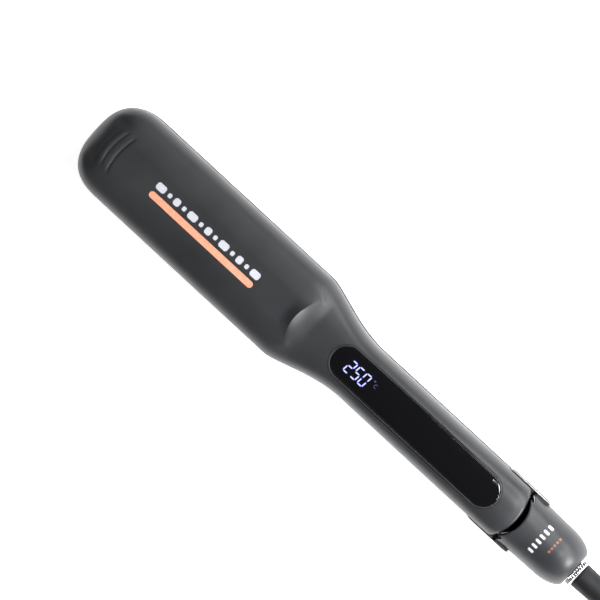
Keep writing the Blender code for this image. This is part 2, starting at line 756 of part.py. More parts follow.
def tail_ring(along, inset):
    """One closed section of the tail, a superellipse that becomes a circle at the end."""
    travel = (along - HINGE_ALONG) / (TAIL_END - HINGE_ALONG)
    exponent = SECTION_EXPONENT - smooth(travel)
    width = TAIL_HALF_WIDTH - TAIL_TAPER * travel
    height = TAIL_CREST - TAIL_TAPER * travel
    past = max(along - (TAIL_END - TAIL_ROUNDING), 0.0) / TAIL_ROUNDING
    roll = 1 - math.sqrt(max(1 - past * past, 0.0))
    width -= (width - TAIL_END_RADIUS) * roll
    height -= (height - TAIL_END_RADIUS) * roll
    upper = arch(width - inset, 0.0, height - inset, exponent, 15)
    lower = [(-y, -z) for y, z in upper[1:-1]]
    return [(at(along), y, MID_HEIGHT + z) for y, z in upper + lower]


def tail_housing():
    bend = TAIL_END - TAIL_ROUNDING
    late = TAIL_END - TAIL_WALL
    outer = spread((TAIL_FRONT, bend, 5), (bend, late, 4), (late, TAIL_END, 3))
    housing = loft("tail_housing", [tail_ring(along, 0.0) for along in outer], "graphite_shell")
    inner = spread((TAIL_FRONT - 0.001, bend, 5), (bend, TAIL_END - 2 * TAIL_WALL, 3))
    hollow = loft("tail_hollow", [tail_ring(along, TAIL_WALL) for along in inner])
    combine(housing, hollow)
    centre = (at(TAIL_RIM) - TAIL_RIM_RADIUS, 0, MID_HEIGHT)
    combine(housing, cylinder("tail_rim_cutter", centre, TAIL_RIM_RADIUS, 0.06, (0, 0, 1), vertices=64))
    combine(housing, sweep_form())
    combine(housing, boss_clearance)
    bore = (at(TAIL_END), 0, MID_HEIGHT)
    combine(housing, cylinder("stem_bore", bore, STEM_RADIUS + GAP, 0.02, (1, 0, 0)))
    return housing


def on_axis(along):
    return (at(along), 0, MID_HEIGHT)


def swivel_stem():
    """Neck through the tail wall with a flange that keeps the guard in place."""
    length = GUARD_START - GAP - STEM_START
    profile = [(0.0, length), (STEM_RADIUS, length), (STEM_RADIUS, FLANGE_THICKNESS)]
    profile += [(FLANGE_RADIUS, FLANGE_THICKNESS), (FLANGE_RADIUS, 0.0), (0.0, 0.0)]
    return turned("swivel_stem", profile, on_axis(STEM_START), (1, 0, 0), "black_plastic")


def slip_ring(name, inner, outer):
    thick = SLIP_RING_THICKNESS
    profile = [(inner, thick), (outer, thick), (outer, 0.0), (inner, 0.0)]
    return turned(name, profile, on_axis(SLIP_RING_START), (1, 0, 0), "brass", closed=True, steps=24)


def swivel_ring():
    """Knurled ring: a toothed outline with a bore."""
    outline = []
    for i in range(2 * KNURL_COUNT):
        angle = math.pi * i / KNURL_COUNT
        radius = RING_RADIUS - KNURL_DEPTH * (i % 2)
        outline.append((radius * math.cos(angle), radius * math.sin(angle)))
    ring = flat_outline("swivel_ring", outline, 0.0, RING_END - RING_START, "chrome")
    ring.location = on_axis(RING_START)
    ring.rotation_euler = turn_to((1, 0, 0))
    bore = cylinder("ring_bore", on_axis(RING_END), STEM_RADIUS + GAP, 0.02, (1, 0, 0))
    combine(ring, bore)
    return ring


def cord_guard():
    """Tapered rubber guard: a smooth root, then ribs that let it bend."""
    length = TIP_TO_GUARD_END - GUARD_START
    near = 0.0003
    far = near + RIB_GROOVE_WIDTH
    edge = 0.0003

    def radius(along):
        return GUARD_ROOT_RADIUS - (GUARD_ROOT_RADIUS - GUARD_TIP_RADIUS) * along / length

    profile = [(0.0, length), (radius(length) - 0.0006, length), (radius(length), length - 0.0006)]
    for i in reversed(range(RIB_COUNT)):
        start = RIBS_START + RIB_PITCH * i
        depth = RIB_GROOVE_DEPTH
        for place, deep in ((far, 0), (far - edge, depth), (near, depth), (near - edge, 0)):
            profile.append((radius(start + place) - deep, start + place))
    profile += [(radius(0.0005), 0.0005), (radius(0) - 0.0005, 0.0), (0.0, 0.0)]
    return turned("cord_guard", profile, on_axis(GUARD_START), (1, 0, 0), "rubber", steps=20)


def contact_fingers():
    """Two sprung brass strips that press on the slip rings, on their carrier plate."""
    middle = on_axis(CONTACT_PLATE_ALONG)
    plate = cylinder("contact_plate", middle, CONTACT_PLATE_RADIUS, 0.0016, (1, 0, 0), "board_green")
    fingers = []
    for name, y in (("contact_finger_live", 0.0022), ("contact_finger_neutral", -0.0052)):
        route = [(at(0.2846), y, MID_HEIGHT - 0.003), (at(0.2870), y, MID_HEIGHT - 0.003)]
        route += [(at(0.2905), y, MID_HEIGHT), (at(0.2921), y, MID_HEIGHT + 0.001)]
        fingers.append(tube(name, route, 0.0004, "brass"))
    return [plate, *fingers]


# Wires, cord, hank and plug


def heater_lead(name, side, start, end):
    """Insulated lead from the handle to the heater, lying between the inner cover and the board."""
    offset = 0.0085
    low, high = MID_HEIGHT + side * 0.0052, MID_HEIGHT + side * 0.0060
    route = [(at(end), offset, high), (at(end - 0.03), offset + 0.001, low)]
    route += [(at(0.165), offset + 0.001, low), (at(0.150), 0.0040, low), (at(start), 0.0030, low)]
    return tube(name, route, 0.0009, "silicone")


def catmull(points, per_span):
    """Evenly counted points of a smooth curve through the given points."""
    ends = [points[0] * 2 - points[1], *points, points[-1] * 2 - points[-2]]
    result = []
    for a, b, c, d in zip(ends, ends[1:], ends[2:], ends[3:]):
        for i in range(per_span):
            t = i / per_span
            step = (c - a) * t + (a * 2 - b * 5 + c * 4 - d) * t**2 + (b * 3 - a - c * 3 + d) * t**3
            result.append(b + step / 2)
    return [*result, points[-1]]


# Route of the cord from the guard to the hank: distance behind the guard, sideways, height
LEAD_ROUTE = (
    (0.000, 0.0000, MID_HEIGHT),
    (0.008, 0.0000, 0.0187),
    (0.016, 0.0003, 0.0181),
    (0.024, 0.0015, 0.0164),
    (0.032, 0.0038, 0.0138),
    (0.040, 0.0072, 0.0105),
    (0.048, 0.0112, 0.0073),
    (0.056, 0.0150, 0.0049),
    (0.064, 0.0180, 0.0037),
    (0.071, 0.0196, 0.0034),
)


def cord_lead():
    route = [Vector((at(CORD_START) + x, y, z)) for x, y, z in LEAD_ROUTE]
    end = at(HANK_MIDDLE) - HANK_HALF_RUN - SHOULDER_BACK - GAP
    height = LEAD_ROUTE[-1][2]
    points = catmull([*route, Vector((end - 0.001, LEAD_SIDE, height))], 2)
    return tube("cord_lead", [*points, Vector((end, LEAD_SIDE, height))], CORD_RADIUS, "cord", resolution=3)


def hank_edge(x, reach):
    """Distance of the hank's side from its centre line at x behind its middle."""
    return reach - HANK_PINCH * math.cos(math.pi * x / (2 * HANK_HALF_RUN)) ** 2


def cord_hank():
    """The folded cord as one solid, with a waist under the tie and a shoulder where the lead enters."""
    middle = at(HANK_MIDDLE)
    count = 12
    xs = [HANK_HALF_RUN * (2 * i / count - 1) for i in range(1, count)]
    shoulder = middle - HANK_HALF_RUN - SHOULDER_BACK
    outline = arc((middle + HANK_HALF_RUN, HANK_SIDE), HANK_OUTER, -90, 90, 15)
    outline += [(middle + x, HANK_SIDE + hank_edge(x, HANK_OUTER)) for x in reversed(xs) if x > -0.030]
    outline += [(shoulder + SHOULDER_RUN, LEAD_SIDE + LEAD_COVER), (shoulder, LEAD_SIDE + LEAD_COVER)]
    outline += arc((middle - HANK_HALF_RUN, HANK_SIDE), HANK_OUTER, 123, 270, 13)
    outline += [(middle + x, HANK_SIDE - hank_edge(x, HANK_OUTER)) for x in xs]
    hank = flat_outline("cord_hank", outline, 0.0, HANK_HEIGHT, "cord")
    half = TIE_WIDTH / 2 + 0.001
    groove = box("tie_groove", (middle - half, -0.04, -0.01), (middle + half, 0.04, TIE_THICKNESS + GAP))
    combine(hank, groove)
    return hank


def hank_tie():
    """Strap closed round the waist of the hank."""
    middle = at(HANK_MIDDLE)
    half = TIE_WIDTH / 2
    side = hank_edge(half, HANK_OUTER) + GAP
    top = HANK_HEIGHT + GAP
    low = (middle - half, HANK_SIDE - side - TIE_THICKNESS, 0.0)
    high = (middle + half, HANK_SIDE + side + TIE_THICKNESS, top + TIE_THICKNESS)
    tie = box("hank_tie", low, high, "rubber")
    low = (middle - half - 0.001, HANK_SIDE - side, TIE_THICKNESS)
    combine(tie, box("tie_space", low, (middle + half + 0.001, HANK_SIDE + side, top)))
    return tie


def plug():
    """Flat two-pin plug lying on the hank, pins pointing away from the iron."""
    start = at(HANK_MIDDLE) + PLUG_START
    end = start + PLUG_LENGTH
    bottom = HANK_HEIGHT + GAP
    middle = bottom + PLUG_HEIGHT / 2
    rings = []
    for along, width, height in PLUG_SECTIONS:
        upper = arch(width, 0.0, height, 3.0, 9)
        section = upper + [(-y, -z) for y, z in upper[1:-1]]
        rings.append([(start + along, HANK_SIDE + y, middle + z) for y, z in section])
    body = loft("plug_body", rings, "rubber")
    pins = []
    for name, side in (("plug_pin_left", 1), ("plug_pin_right", -1)):
        point = (PLUG_PIN_RADIUS - PLUG_PIN_CHAMFER, PLUG_PIN_LENGTH)
        flank = (PLUG_PIN_RADIUS, PLUG_PIN_LENGTH - PLUG_PIN_CHAMFER)
        profile = [(0.0, PLUG_PIN_LENGTH), point, flank, (PLUG_PIN_RADIUS, 0.0), (0.0, 0.0)]
        base = (end + GAP, HANK_SIDE + side * PLUG_PIN_SPACING / 2, middle)
        pins.append(turned(name, profile, base, (1, 0, 0), "brass", steps=20))
    return [body, *pins]


# Assembly


def upper_arm():
    shell = arm_shell("upper_shell", 1, ARM_REAR_RADIUS, ARM_REAR)
    shown = display_pieces(shell)
    bar = accent_bar(shell)
    cover = inner_cover("upper_inner_cover", 1, UPPER_LUG, BUSH_RADIUS + GAP)
    liner = tip_liner("upper_tip_liner", 1)
    floating, fixed = heating_stack("upper", 1)
    screws = [cover_screw(f"upper_screw_{place}", 1, y) for place, y in SCREWS.items()]
    pad = inner_box("key_pad", KEY_PAD, "silicone", bevel=0.0004)
    lead = heater_lead("upper_heater_lead", 1, 0.121, 0.238)
    bushes = [hinge_bush("hinge_bush_left", 1), hinge_bush("hinge_bush_right", -1)]
    hinge = pivot("arm_hinge_axis", hinge_point())
    attach(hinge, shell, cover, liner, bar, pad, lead, *shown, *fixed, *screws, *bushes)
    attach(pivot("upper_plate_slide", (at(0.067), 0, MID_HEIGHT)), *floating)
    for name in KEYS:
        attach(pivot(f"{name}_slide", (at(KEYS[name][0]), 0, MID_HEIGHT)), control_key(name, cover))


def lower_arm():
    arm_shell("lower_shell", -1, TAIL_RIM_RADIUS - GAP, TAIL_RIM - GAP)
    inner_cover("lower_inner_cover", -1, LOWER_LUG, PIN_RADIUS + GAP)
    tip_liner("lower_tip_liner", -1)
    floating, _ = heating_stack("lower", -1)
    for place, y in SCREWS.items():
        cover_screw(f"lower_screw_{place}", -1, y)
    heater_lead("lower_heater_lead", -1, 0.121, 0.240)
    inner_box("thermal_fuse", THERMAL_FUSE, "ceramic", bevel=0.001)
    attach(pivot("lower_plate_slide", (at(0.067), 0, MID_HEIGHT)), *floating)


def hinge_and_tail():
    cylinder("hinge_pin", hinge_point(), PIN_RADIUS, PIN_LENGTH, (0, 1, 0), "steel", vertices=24)
    hinge_spring()
    for side in (-1, 1):
        hinge_cap(side)
    tail_housing()
    contact_fingers()
    swivel = pivot("swivel_axis", on_axis(TAIL_END))
    rings = [slip_ring("slip_ring_inner", 0.0012, 0.0030), slip_ring("slip_ring_outer", 0.0042, 0.0060)]
    attach(swivel, swivel_stem(), swivel_ring(), cord_guard(), *rings)


def cord_pieces():
    cord_lead()
    cord_hank()
    hank_tie()
    plug()


for old in list(bpy.data.objects):
    bpy.data.objects.remove(old, do_unlink=True)
parts = make_collection("flat_iron")
cutters = make_collection("cutters")
cutters.hide_render = True
materials = {name: make_material(name) for name in MATERIALS}
boss_clearance = cylinder("boss_clearance", hinge_point(), BOSS_RADIUS + GAP, 0.06, (0, 1, 0))
upper_arm()
lower_arm()
hinge_and_tail()
cord_pieces()
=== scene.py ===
"""Looks of the flat iron: fine shells, cord, rubber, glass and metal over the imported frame.

Metres, +Z up, +X from the tip to the cord. Places along the iron are distances from the tip.
"""

import math

import bmesh
import bpy
import numpy as np
from mathutils import Matrix, Vector


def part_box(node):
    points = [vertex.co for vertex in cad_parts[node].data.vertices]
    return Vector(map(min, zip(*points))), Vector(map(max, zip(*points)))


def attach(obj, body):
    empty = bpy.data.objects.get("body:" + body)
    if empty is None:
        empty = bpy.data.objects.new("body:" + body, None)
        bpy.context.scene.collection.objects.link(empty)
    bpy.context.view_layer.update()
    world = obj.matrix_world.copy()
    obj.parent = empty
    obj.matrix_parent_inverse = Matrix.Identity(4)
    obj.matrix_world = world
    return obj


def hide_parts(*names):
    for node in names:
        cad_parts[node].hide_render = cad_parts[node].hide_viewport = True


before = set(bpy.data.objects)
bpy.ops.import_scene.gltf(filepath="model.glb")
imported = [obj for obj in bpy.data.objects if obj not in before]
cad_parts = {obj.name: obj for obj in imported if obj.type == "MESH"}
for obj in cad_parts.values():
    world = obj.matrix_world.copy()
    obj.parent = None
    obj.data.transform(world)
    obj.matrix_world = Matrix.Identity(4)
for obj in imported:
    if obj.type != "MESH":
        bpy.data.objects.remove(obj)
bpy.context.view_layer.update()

TIP_FRONT = 0.0002
GUARD_END = 0.3636
MID_HEIGHT = 0.0188  # plane where the plates meet
EDGE_HEIGHT = 0.002  # arm edges stand this far from the middle plane
ABOVE = MID_HEIGHT + 0.03  # clear of everything
HINGE_ALONG = 0.2596
OPEN_ANGLE = math.radians(15)
SHARP_ANGLE = math.radians(32)  # edges bent more than this stay crisp

# Arms; heights are from the middle plane
PADDLE_HALF_WIDTH = 0.0234
HANDLE_HALF_WIDTH = 0.0146
TIP_PLAN_LENGTH = 0.022
TIP_PLAN_EXPONENT = 2.6
TIP_SIDE_LENGTH = 0.014
TIP_SIDE_EXPONENT = 2.2
SHOULDER_START = 0.128
SHOULDER_LENGTH = 0.040
SECTION_EXPONENT = 3.0
PADDLE_CREST = 0.019
# Where the crest's height starts to change, over what length and by how much
CREST_CHANGES = ((0.1235, 0.0150, -0.0019), (0.136, 0.044, 0.0015), (0.212, 0.052, -0.0028))
REAR_DROP = 0.0010
REAR_DROP_START = 0.2565
FLAT_LIMIT = 0.0188
SHELL_WALL = 0.0018
ARM_COLUMNS = 81
ARM_REAR = 0.2656
ARM_REAR_RADIUS = 0.0246
ARM_REAR_ROUNDING = 0.0016
REAR_BLEND_START = 0.225  # from here the rings bend towards the curved rear edge
INNER_TIP = 0.03  # the inside surface is moved back from here to the tip
RELIEF_START = 0.006  # height from which the thumb stop and the grooves are added
BOSS_HOLE = 0.0049
POCKET_FLOOR = 0.0125
ACCENT_GROOVE_DEPTH = 0.0009

# Thumb stop and grip grooves
RIDGE = 0.1284
RIDGE_BOW = 0.0028  # how far the ridge curves back at RIDGE_REACH to the side
RIDGE_REACH = 0.011
STOP_HEIGHT = 0.0020
STOP_HALF_WIDTH = 0.0128
STOP_RAMP = 0.0058
STOP_FALL = 0.0120
GROOVES = ((0.0097, 0.00026), (0.0132, 0.00040), (0.0172, 0.00042))  # place and depth
GROOVE_HALF_WIDTH = 0.00055
GROOVE_BOW = 0.0019
GROOVE_REACH = 0.0113
GROOVE_FADE = 0.0030
BEND_SPREAD = 0.0055  # rings follow the ridge this far before and behind it
BEND_REACH = 0.0125

# Tail
TAIL_RIM = 0.2689
TAIL_RIM_RADIUS = 0.0156
TAIL_END = 0.300
TAIL_HALF_WIDTH = 0.0144
TAIL_HALF_HEIGHT = 0.0158
TAIL_TAPER = 0.0010
TAIL_ROUNDING = 0.0068
TAIL_MOUTH = 0.0080
TAIL_COLUMNS = 96
SWEEP_CLEARANCE = 0.0004

# Display and prints
WINDOW = (0.1525, 0.2527, 0.0079)  # start, end and half width
WINDOW_SEAT = 0.0011
BEZEL = 0.0008
GLASS_DEPTH = 0.0015
FIRST_FIGURE = 0.1604
FIGURE_PITCH = 0.0044
FIGURE_BASE = -0.0034
FIGURE_WIDTH = 0.0034
FIGURE_HEIGHT = 0.0069
BAR_THICKNESS = 0.00058
BAR_GAP = 0.00028
FIGURE_LEAN = 0.13
HALO = 0.00038
# Lit bars of each figure: top, upper left, upper right, middle, lower left, lower right, bottom
FIGURES = {2: (1, 0, 1, 1, 1, 0, 1), 5: (1, 1, 0, 1, 0, 1, 1), 0: (1, 1, 1, 0, 1, 1, 1)}
PRINT_START = 0.0403
PRINT_LENGTH = 0.0640
PRINT_MIDDLE = 0.0016

# Cord
CORD_RADIUS = 0.00325
CORD_DIAMETER = 2 * CORD_RADIUS
HANK_SIDE = -0.0115
HANK_HALF_RUN = 0.042
HANK_PINCH = 0.0161
HANK_ENTRY = -0.0583  # where the first run starts, from the hank's middle
ENTRY_ASIDE = 0.0055
OUTER_TURN = 0.026
INNER_TURN = 0.0195
LAST_TURN = 0.013
CORD_TOP = 0.0331  # height of the cord's end
TIE_HALF = 0.006
STRAP = 0.0012
BOW = 4  # points to each side over which a bend is measured
SOFTEST_BOW = 0.0036  # depth of a bend of three diameters over that stretch
LEAD_ROUTE = (
    (0.000, 0.0000, 0.0188),
    (0.008, 0.0000, 0.0187),
    (0.016, 0.0003, 0.0181),
    (0.024, 0.0015, 0.0164),
    (0.032, 0.0038, 0.0138),
    (0.040, 0.0072, 0.0105),
    (0.048, 0.0112, 0.0073),
    (0.056, 0.0150, 0.0049),
    (0.064, 0.0180, 0.0037),
    (0.071, 0.0196, 0.0034),
)
# Turn radius and layer of each turn, from the first to the last
TURNS = [(OUTER_TURN, 0), (INNER_TURN, 0), (INNER_TURN, 1), (OUTER_TURN, 1)]
TURNS += [(turn, layer + 2) for turn, layer in TURNS]

# Camera and light
AXIS_ACROSS = 0.7346  # picture direction of the iron's axis: to the right
AXIS_DOWN = 0.6785  # and downwards
FLOOR_HALF_SIZE = 4
FLOOR_HEIGHT = -0.0003  # just under the part, so that no faces coincide


def at(along):
    """World x of a distance from the tip."""
    return along - (TIP_FRONT + GUARD_END) / 2


CORD_START = at(0.3639)
HANK_MIDDLE = at(0.4996)


def smooth(value):
    """Eases from 0 to 1."""
    value = min(max(value, 0.0), 1.0)
    return value * value * (3 - 2 * value)


# Materials


class Paint:
    """Builds one node material on a Principled shader."""

    def __init__(self, name, colour, roughness, metallic=0.0, **sockets):
        self.material = bpy.data.materials.new(name)
        self.material.use_nodes = True
        self.tree = self.material.node_tree
        self.shader = self.tree.nodes["Principled BSDF"]
        self.shader.inputs["Base Color"].default_value = (*colour, 1)
        self.shader.inputs["Roughness"].default_value = roughness
        self.shader.inputs["Metallic"].default_value = metallic
        for socket, value in sockets.items():
            self.shader.inputs[socket.replace("_", " ")].default_value = value
        self.where = self.tree.nodes.new("ShaderNodeTexCoord").outputs["Object"]
        self.last_bump = None

    def node(self, kind, **inputs):
        made = self.tree.nodes.new(kind)
        for socket, value in inputs.items():
            made.inputs[socket.replace("_", " ")].default_value = value
        return made

    def join(self, output, node, socket):
        self.tree.links.new(output, node.inputs[socket])

    def stretched(self, scale):
        """Object coordinates scaled differently along each axis."""
        mapping = self.node("ShaderNodeMapping", Scale=scale)
        self.join(self.where, mapping, "Vector")
        return mapping.outputs["Vector"]

    def noise(self, scale, detail=3.0, roughness=0.55, where=None):
        noise = self.node("ShaderNodeTexNoise", Scale=scale, Detail=detail, Roughness=roughness)
        self.join(where or self.where, noise, "Vector")
        return noise.outputs["Fac"]

    def voronoi(self, scale):
        cells = self.node("ShaderNodeTexVoronoi", Scale=scale)
        self.join(self.where, cells, "Vector")
        return cells.outputs["Distance"]

    def between(self, factor, low, high, start=0.3, end=0.7):
        """Factor mapped from start..end to low..high."""
        ranged = self.node("ShaderNodeMapRange", From_Min=start, From_Max=end, To_Min=low, To_Max=high)
        self.join(factor, ranged, "Value")
        return ranged.outputs["Result"]

    def rough(self, factor, low, high, start=0.3, end=0.7):
        self.join(self.between(factor, low, high, start, end), self.shader, "Roughness")
        return self

    def tint(self, factor, first, second, start=0.3, end=0.7):
        mix = self.tree.nodes.new("ShaderNodeMix")
        mix.data_type = "RGBA"
        mix.inputs["A"].default_value = (*first, 1)
        mix.inputs["B"].default_value = (*second, 1)
        self.join(self.between(factor, 0.0, 1.0, start, end), mix, "Factor")
        self.join(mix.outputs["Result"], self.shader, "Base Color")
        return self

    def bump(self, height, strength, distance):
        bump = self.node("ShaderNodeBump", Strength=strength, Distance=distance)
        self.join(height, bump, "Height")
        if self.last_bump:
            self.join(self.last_bump, bump, "Normal")
        self.last_bump = bump.outputs["Normal"]
        self.join(self.last_bump, self.shader, "Normal")
        return self


def graphite():
    """Satin graphite plastic with a fine grain and faint handling marks."""
    paint = Paint("satin_graphite", (0.030, 0.031, 0.034), 0.4, Specular_IOR_Level=0.42)
    haze = paint.noise(38, 4.0)
    paint.tint(haze, (0.024, 0.025, 0.028), (0.031, 0.032, 0.035))
    paint.rough(haze, 0.37, 0.45)
    paint.bump(paint.noise(5200, 2.0), 0.16, 0.00006)
    return paint.bump(paint.noise(260, 3.0), 0.05, 0.0001).material


def moulded_black(name="moulded_black", colour=(0.012, 0.012, 0.013), rough=0.5, grain=2600):
    """Moulded plastic or rubber with a fine grain."""
    paint = Paint(name, colour, rough, Specular_IOR_Level=0.35)
    paint.tint(paint.noise(60, 3.0), colour, tuple(c * 1.5 for c in colour))
    paint.rough(paint.noise(210, 3.0), rough - 0.08, rough + 0.08)
    return paint.bump(paint.noise(grain, 2.0), 0.3, 0.00008).material


def gloss_black():
    """Polished black window."""
    paint = Paint("gloss_window", (0.0035, 0.0035, 0.0045), 0.05, Coat_Weight=0.6, Coat_Roughness=0.03)
    paint.rough(paint.noise(90, 4.0), 0.035, 0.085)
    return paint.bump(paint.noise(34, 2.0), 0.02, 0.0002).material


def metal(name, colour, rough, brushed=(1, 1, 1), scale=900, depth=0.00002):
    """Metal with fine marks, drawn out along an axis by brushed."""
    paint = Paint(name, colour, rough, 1.0)
    lines = paint.noise(scale, 4.0, where=paint.stretched(brushed))
    paint.tint(paint.noise(70, 3.0), tuple(c * 0.9 for c in colour), colour)
    paint.rough(lines, rough * 0.75, rough * 1.3)
    return paint.bump(lines, 0.25, depth).material


def speckled(name, colour, second, rough, scale):
    """Matt stuff mottled between two colours."""
    paint = Paint(name, colour, rough)
    paint.tint(paint.noise(scale, 4.0), colour, second)
    paint.rough(paint.noise(scale * 0.6, 3.0), rough - 0.1, rough + 0.1)
    return paint.bump(paint.noise(scale * 3, 3.0), 0.25, 0.0001).material


def cord_jacket():
    """Matt PVC jacket with the slight unevenness of an extruded cord."""
    paint = Paint("cord_jacket", (0.010, 0.010, 0.011), 0.48)
    paint.tint(paint.noise(45, 3.0), (0.008, 0.008, 0.009), (0.015, 0.015, 0.016))
    paint.rough(paint.noise(160, 3.0), 0.38, 0.56)
    paint.bump(paint.noise(2100, 2.0), 0.2, 0.00008)
    return paint.bump(paint.noise(120, 2.0), 0.12, 0.0004).material


def board():
    """Solder mask with darker tracks."""
    paint = Paint("board", (0.02, 0.13, 0.06), 0.4)
    tracks = paint.voronoi(420)
    paint.tint(tracks, (0.012, 0.08, 0.035), (0.03, 0.17, 0.08), 0.2, 0.5)
    paint.rough(paint.noise(300), 0.3, 0.5)
    return paint.bump(tracks, 0.4, 0.00006).material


def ink(name, colour):
    """Printed ink with a slightly uneven cover."""
    paint = Paint(name, colour, 0.5)
    paint.tint(paint.noise(900, 3.0), tuple(c * 0.86 for c in colour), colour)
    return paint.bump(paint.noise(3000, 2.0), 0.2, 0.00004).material


def glowing(name, colour, strength):
    """A lit part of the display."""
    paint = Paint(name, (0.02, 0.02, 0.03), 0.4, Emission_Strength=strength)
    paint.shader.inputs["Emission Color"].default_value = (*colour, 1)
    return paint.bump(paint.noise(3000, 2.0), 0.05, 0.00002).material


finishes = {
    "graphite_shell": graphite(),
    "black_plastic": moulded_black(),
    "gloss_window": gloss_black(),
    "bezel": moulded_black("bezel_satin", (0.040, 0.041, 0.045), 0.34, 1800),
    "chrome": metal("chrome", (0.78, 0.78, 0.80), 0.13, scale=500),
    "steel": metal("steel", (0.52, 0.52, 0.53), 0.32),
    "brass": metal("brass", (0.72, 0.53, 0.25), 0.28),
    "titanium_plate": metal("plate_coating", (0.30, 0.31, 0.34), 0.27, (40, 1, 1), 30, 0.00001),
    "ceramic": speckled("ceramic", (0.78, 0.77, 0.73), (0.66, 0.65, 0.60), 0.6, 300),
    "aluminium": metal("aluminium", (0.60, 0.61, 0.62), 0.4, (1, 30, 1), 40),
    "silicone": speckled("silicone", (0.50, 0.11, 0.07), (0.42, 0.08, 0.05), 0.6, 200),
    "mica": speckled("mica", (0.50, 0.44, 0.34), (0.62, 0.56, 0.44), 0.55, 500),
    "salmon": speckled("salmon_print", (0.86, 0.32, 0.19), (0.92, 0.42, 0.28), 0.42, 700),
    "board_green": board(),
    "rubber": moulded_black("rubber", (0.004, 0.004, 0.005), 0.58, 1500),
    "cord": cord_jacket(),
    "pale_ink": ink("pale_ink", (0.62, 0.64, 0.70)),
    "salmon_ink": ink("salmon_ink", (0.26, 0.11, 0.07)),
    "lit_figures": glowing("lit_figures", (0.42, 0.46, 1.0), 1.9),
    "figure_halo": glowing("figure_halo", (0.13, 0.11, 1.0), 0.22),
    "dim_unit": glowing("dim_unit", (0.16, 0.17, 0.60), 0.30),
}
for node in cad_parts.values():
    for holder in node.material_slots:
        holder.material = finishes[holder.material.name.split(".")[0]]


# Helpers


def spaced(columns, count):
    """The same line with evenly spaced points, as one array for each coordinate."""
    steps = np.linalg.norm(np.diff(columns, axis=1), axis=0)
    along = np.concatenate([[0], np.cumsum(steps)])
    return [np.interp(np.linspace(0, along[-1], count), along, column) for column in columns]


def superellipse(angle, exponent):
    """(y, z) of a superellipse of half width and half height 1."""
    y, z = np.cos(angle), np.sin(angle)
    return np.sign(y) * np.abs(y) ** (2 / exponent), np.sign(z) * np.abs(z) ** (2 / exponent)


def arch(share, exponent):
    """Height of a superellipse of height 1 at this share of its half width."""
    return (1 - min(abs(share), 1.0) ** exponent) ** (1 / exponent)


def round_end(end, radius, y):
    """Where a rounded end lies along the iron at y."""
    return end - radius + math.sqrt(max(radius**2 - y * y, 0.0))


def place(obj, body, slot, *replaced, finish=None):
    """Puts a finished piece on its body, with its slot's finish unless another is named."""
    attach(obj, body)
    if replaced:
        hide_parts(*replaced)
    obj.data.materials.clear()
    obj.data.materials.append(finishes[finish or slot])
    return obj


def add_object(name, data):
    """A new object with this data, put into the scene."""
    obj = bpy.data.objects.new(name, data)
    bpy.context.scene.collection.objects.link(obj)
    return obj


def mesh_object(name, points, faces, angle=SHARP_ANGLE):
    """A smooth mesh with its normals outwards and its sharp edges kept."""
    mesh = bpy.data.meshes.new(name)
    mesh.from_pydata([tuple(p) for p in points], [], faces)
    bm = bmesh.new()
    bm.from_mesh(mesh)
    bmesh.ops.remove_doubles(bm, verts=bm.verts, dist=1e-7)
    bmesh.ops.recalc_face_normals(bm, faces=bm.faces)
    bm.to_mesh(mesh)
    bm.free()
    mesh.shade_smooth()
    mesh.set_sharp_from_angle(angle=angle)
    return add_object(name, mesh)


def strip(first, second):
    """Quads between two equally long rows of point numbers."""
    return [(first[i], first[i + 1], second[i + 1], second[i]) for i in range(len(first) - 1)]


def skin(rings, looped=False):
    """Points and faces over rings of equally many points, with capped ends unless the rings form a loop."""
    count = len(rings[0])
    rows = [[count * k + i for i in (*range(count), 0)] for k in range(len(rings))]
    faces = [] if looped else [tuple(rows[0][:-1]), tuple(rows[-1][:-1])]
    for first, second in zip(rows, rows[1:] + rows[:1] if looped else rows[1:]):
        faces += strip(first, second)
    return [point for ring in rings for point in ring], faces


def stadium(start, end, half, count=28):
    """Outline with round ends, as (along, y) points."""
    points = []
    for centre, first in ((end - half, -90), (start + half, 90)):
        for i in range(count):
            angle = math.radians(first + 180 * i / (count - 1))
            points.append((centre + half * math.cos(angle), half * math.sin(angle)))
    return points


def prism(name, outline, low, high):
    """A flat outline of (x, y) points raised between two heights."""
    return mesh_object(name, *skin([[(x, y, z) for x, y in outline] for z in (low, high)]))


def cut(obj, *cutters):
    """Takes the cutters out of the piece for good."""
    for cutter in cutters:
        modifier = obj.modifiers.new("cut", "BOOLEAN")
        modifier.object = cutter
        modifier.solver = "MANIFOLD"
    bpy.context.view_layer.update()
    graph = bpy.context.evaluated_depsgraph_get()
    mesh = bpy.data.meshes.new_from_object(obj.evaluated_get(graph))
    obj.modifiers.clear()
    obj.data = mesh
    mesh.shade_smooth()
    mesh.set_sharp_from_angle(angle=SHARP_ANGLE)
    for cutter in cutters:
        bpy.data.objects.remove(cutter, do_unlink=True)


def lathe(name, profile, centre, axis, steps, wave=None):
    """A profile of (radius, height) turned about X or Y; wave(angle, height) adds to the radius.

    A profile that starts off the axis is a closed outline.
    """
    rings = []
    for radius, height in profile:
        ring = []
        for i in range(steps):
            angle = 2 * math.pi * i / steps
            reach = radius + (wave(angle, height) if wave and radius > 0 else 0.0)
            a, b = reach * math.cos(angle), reach * math.sin(angle)
            point = (height, a, b) if axis == "X" else (a, height, b)
            ring.append(tuple(c + p for c, p in zip(centre, point)))
        rings.append(ring)
    return mesh_object(name, *skin(rings, looped=profile[0][0] > 0))


def side_cylinder(name, radius):
    """A cutter right through the iron about the hinge's axis."""
    profile = [(0.0, -0.03), (radius, -0.03), (radius, 0.03), (0.0, 0.03)]
    return lathe(name, profile, (at(HINGE_ALONG), 0, MID_HEIGHT), "Y", 48)


# Arm shells


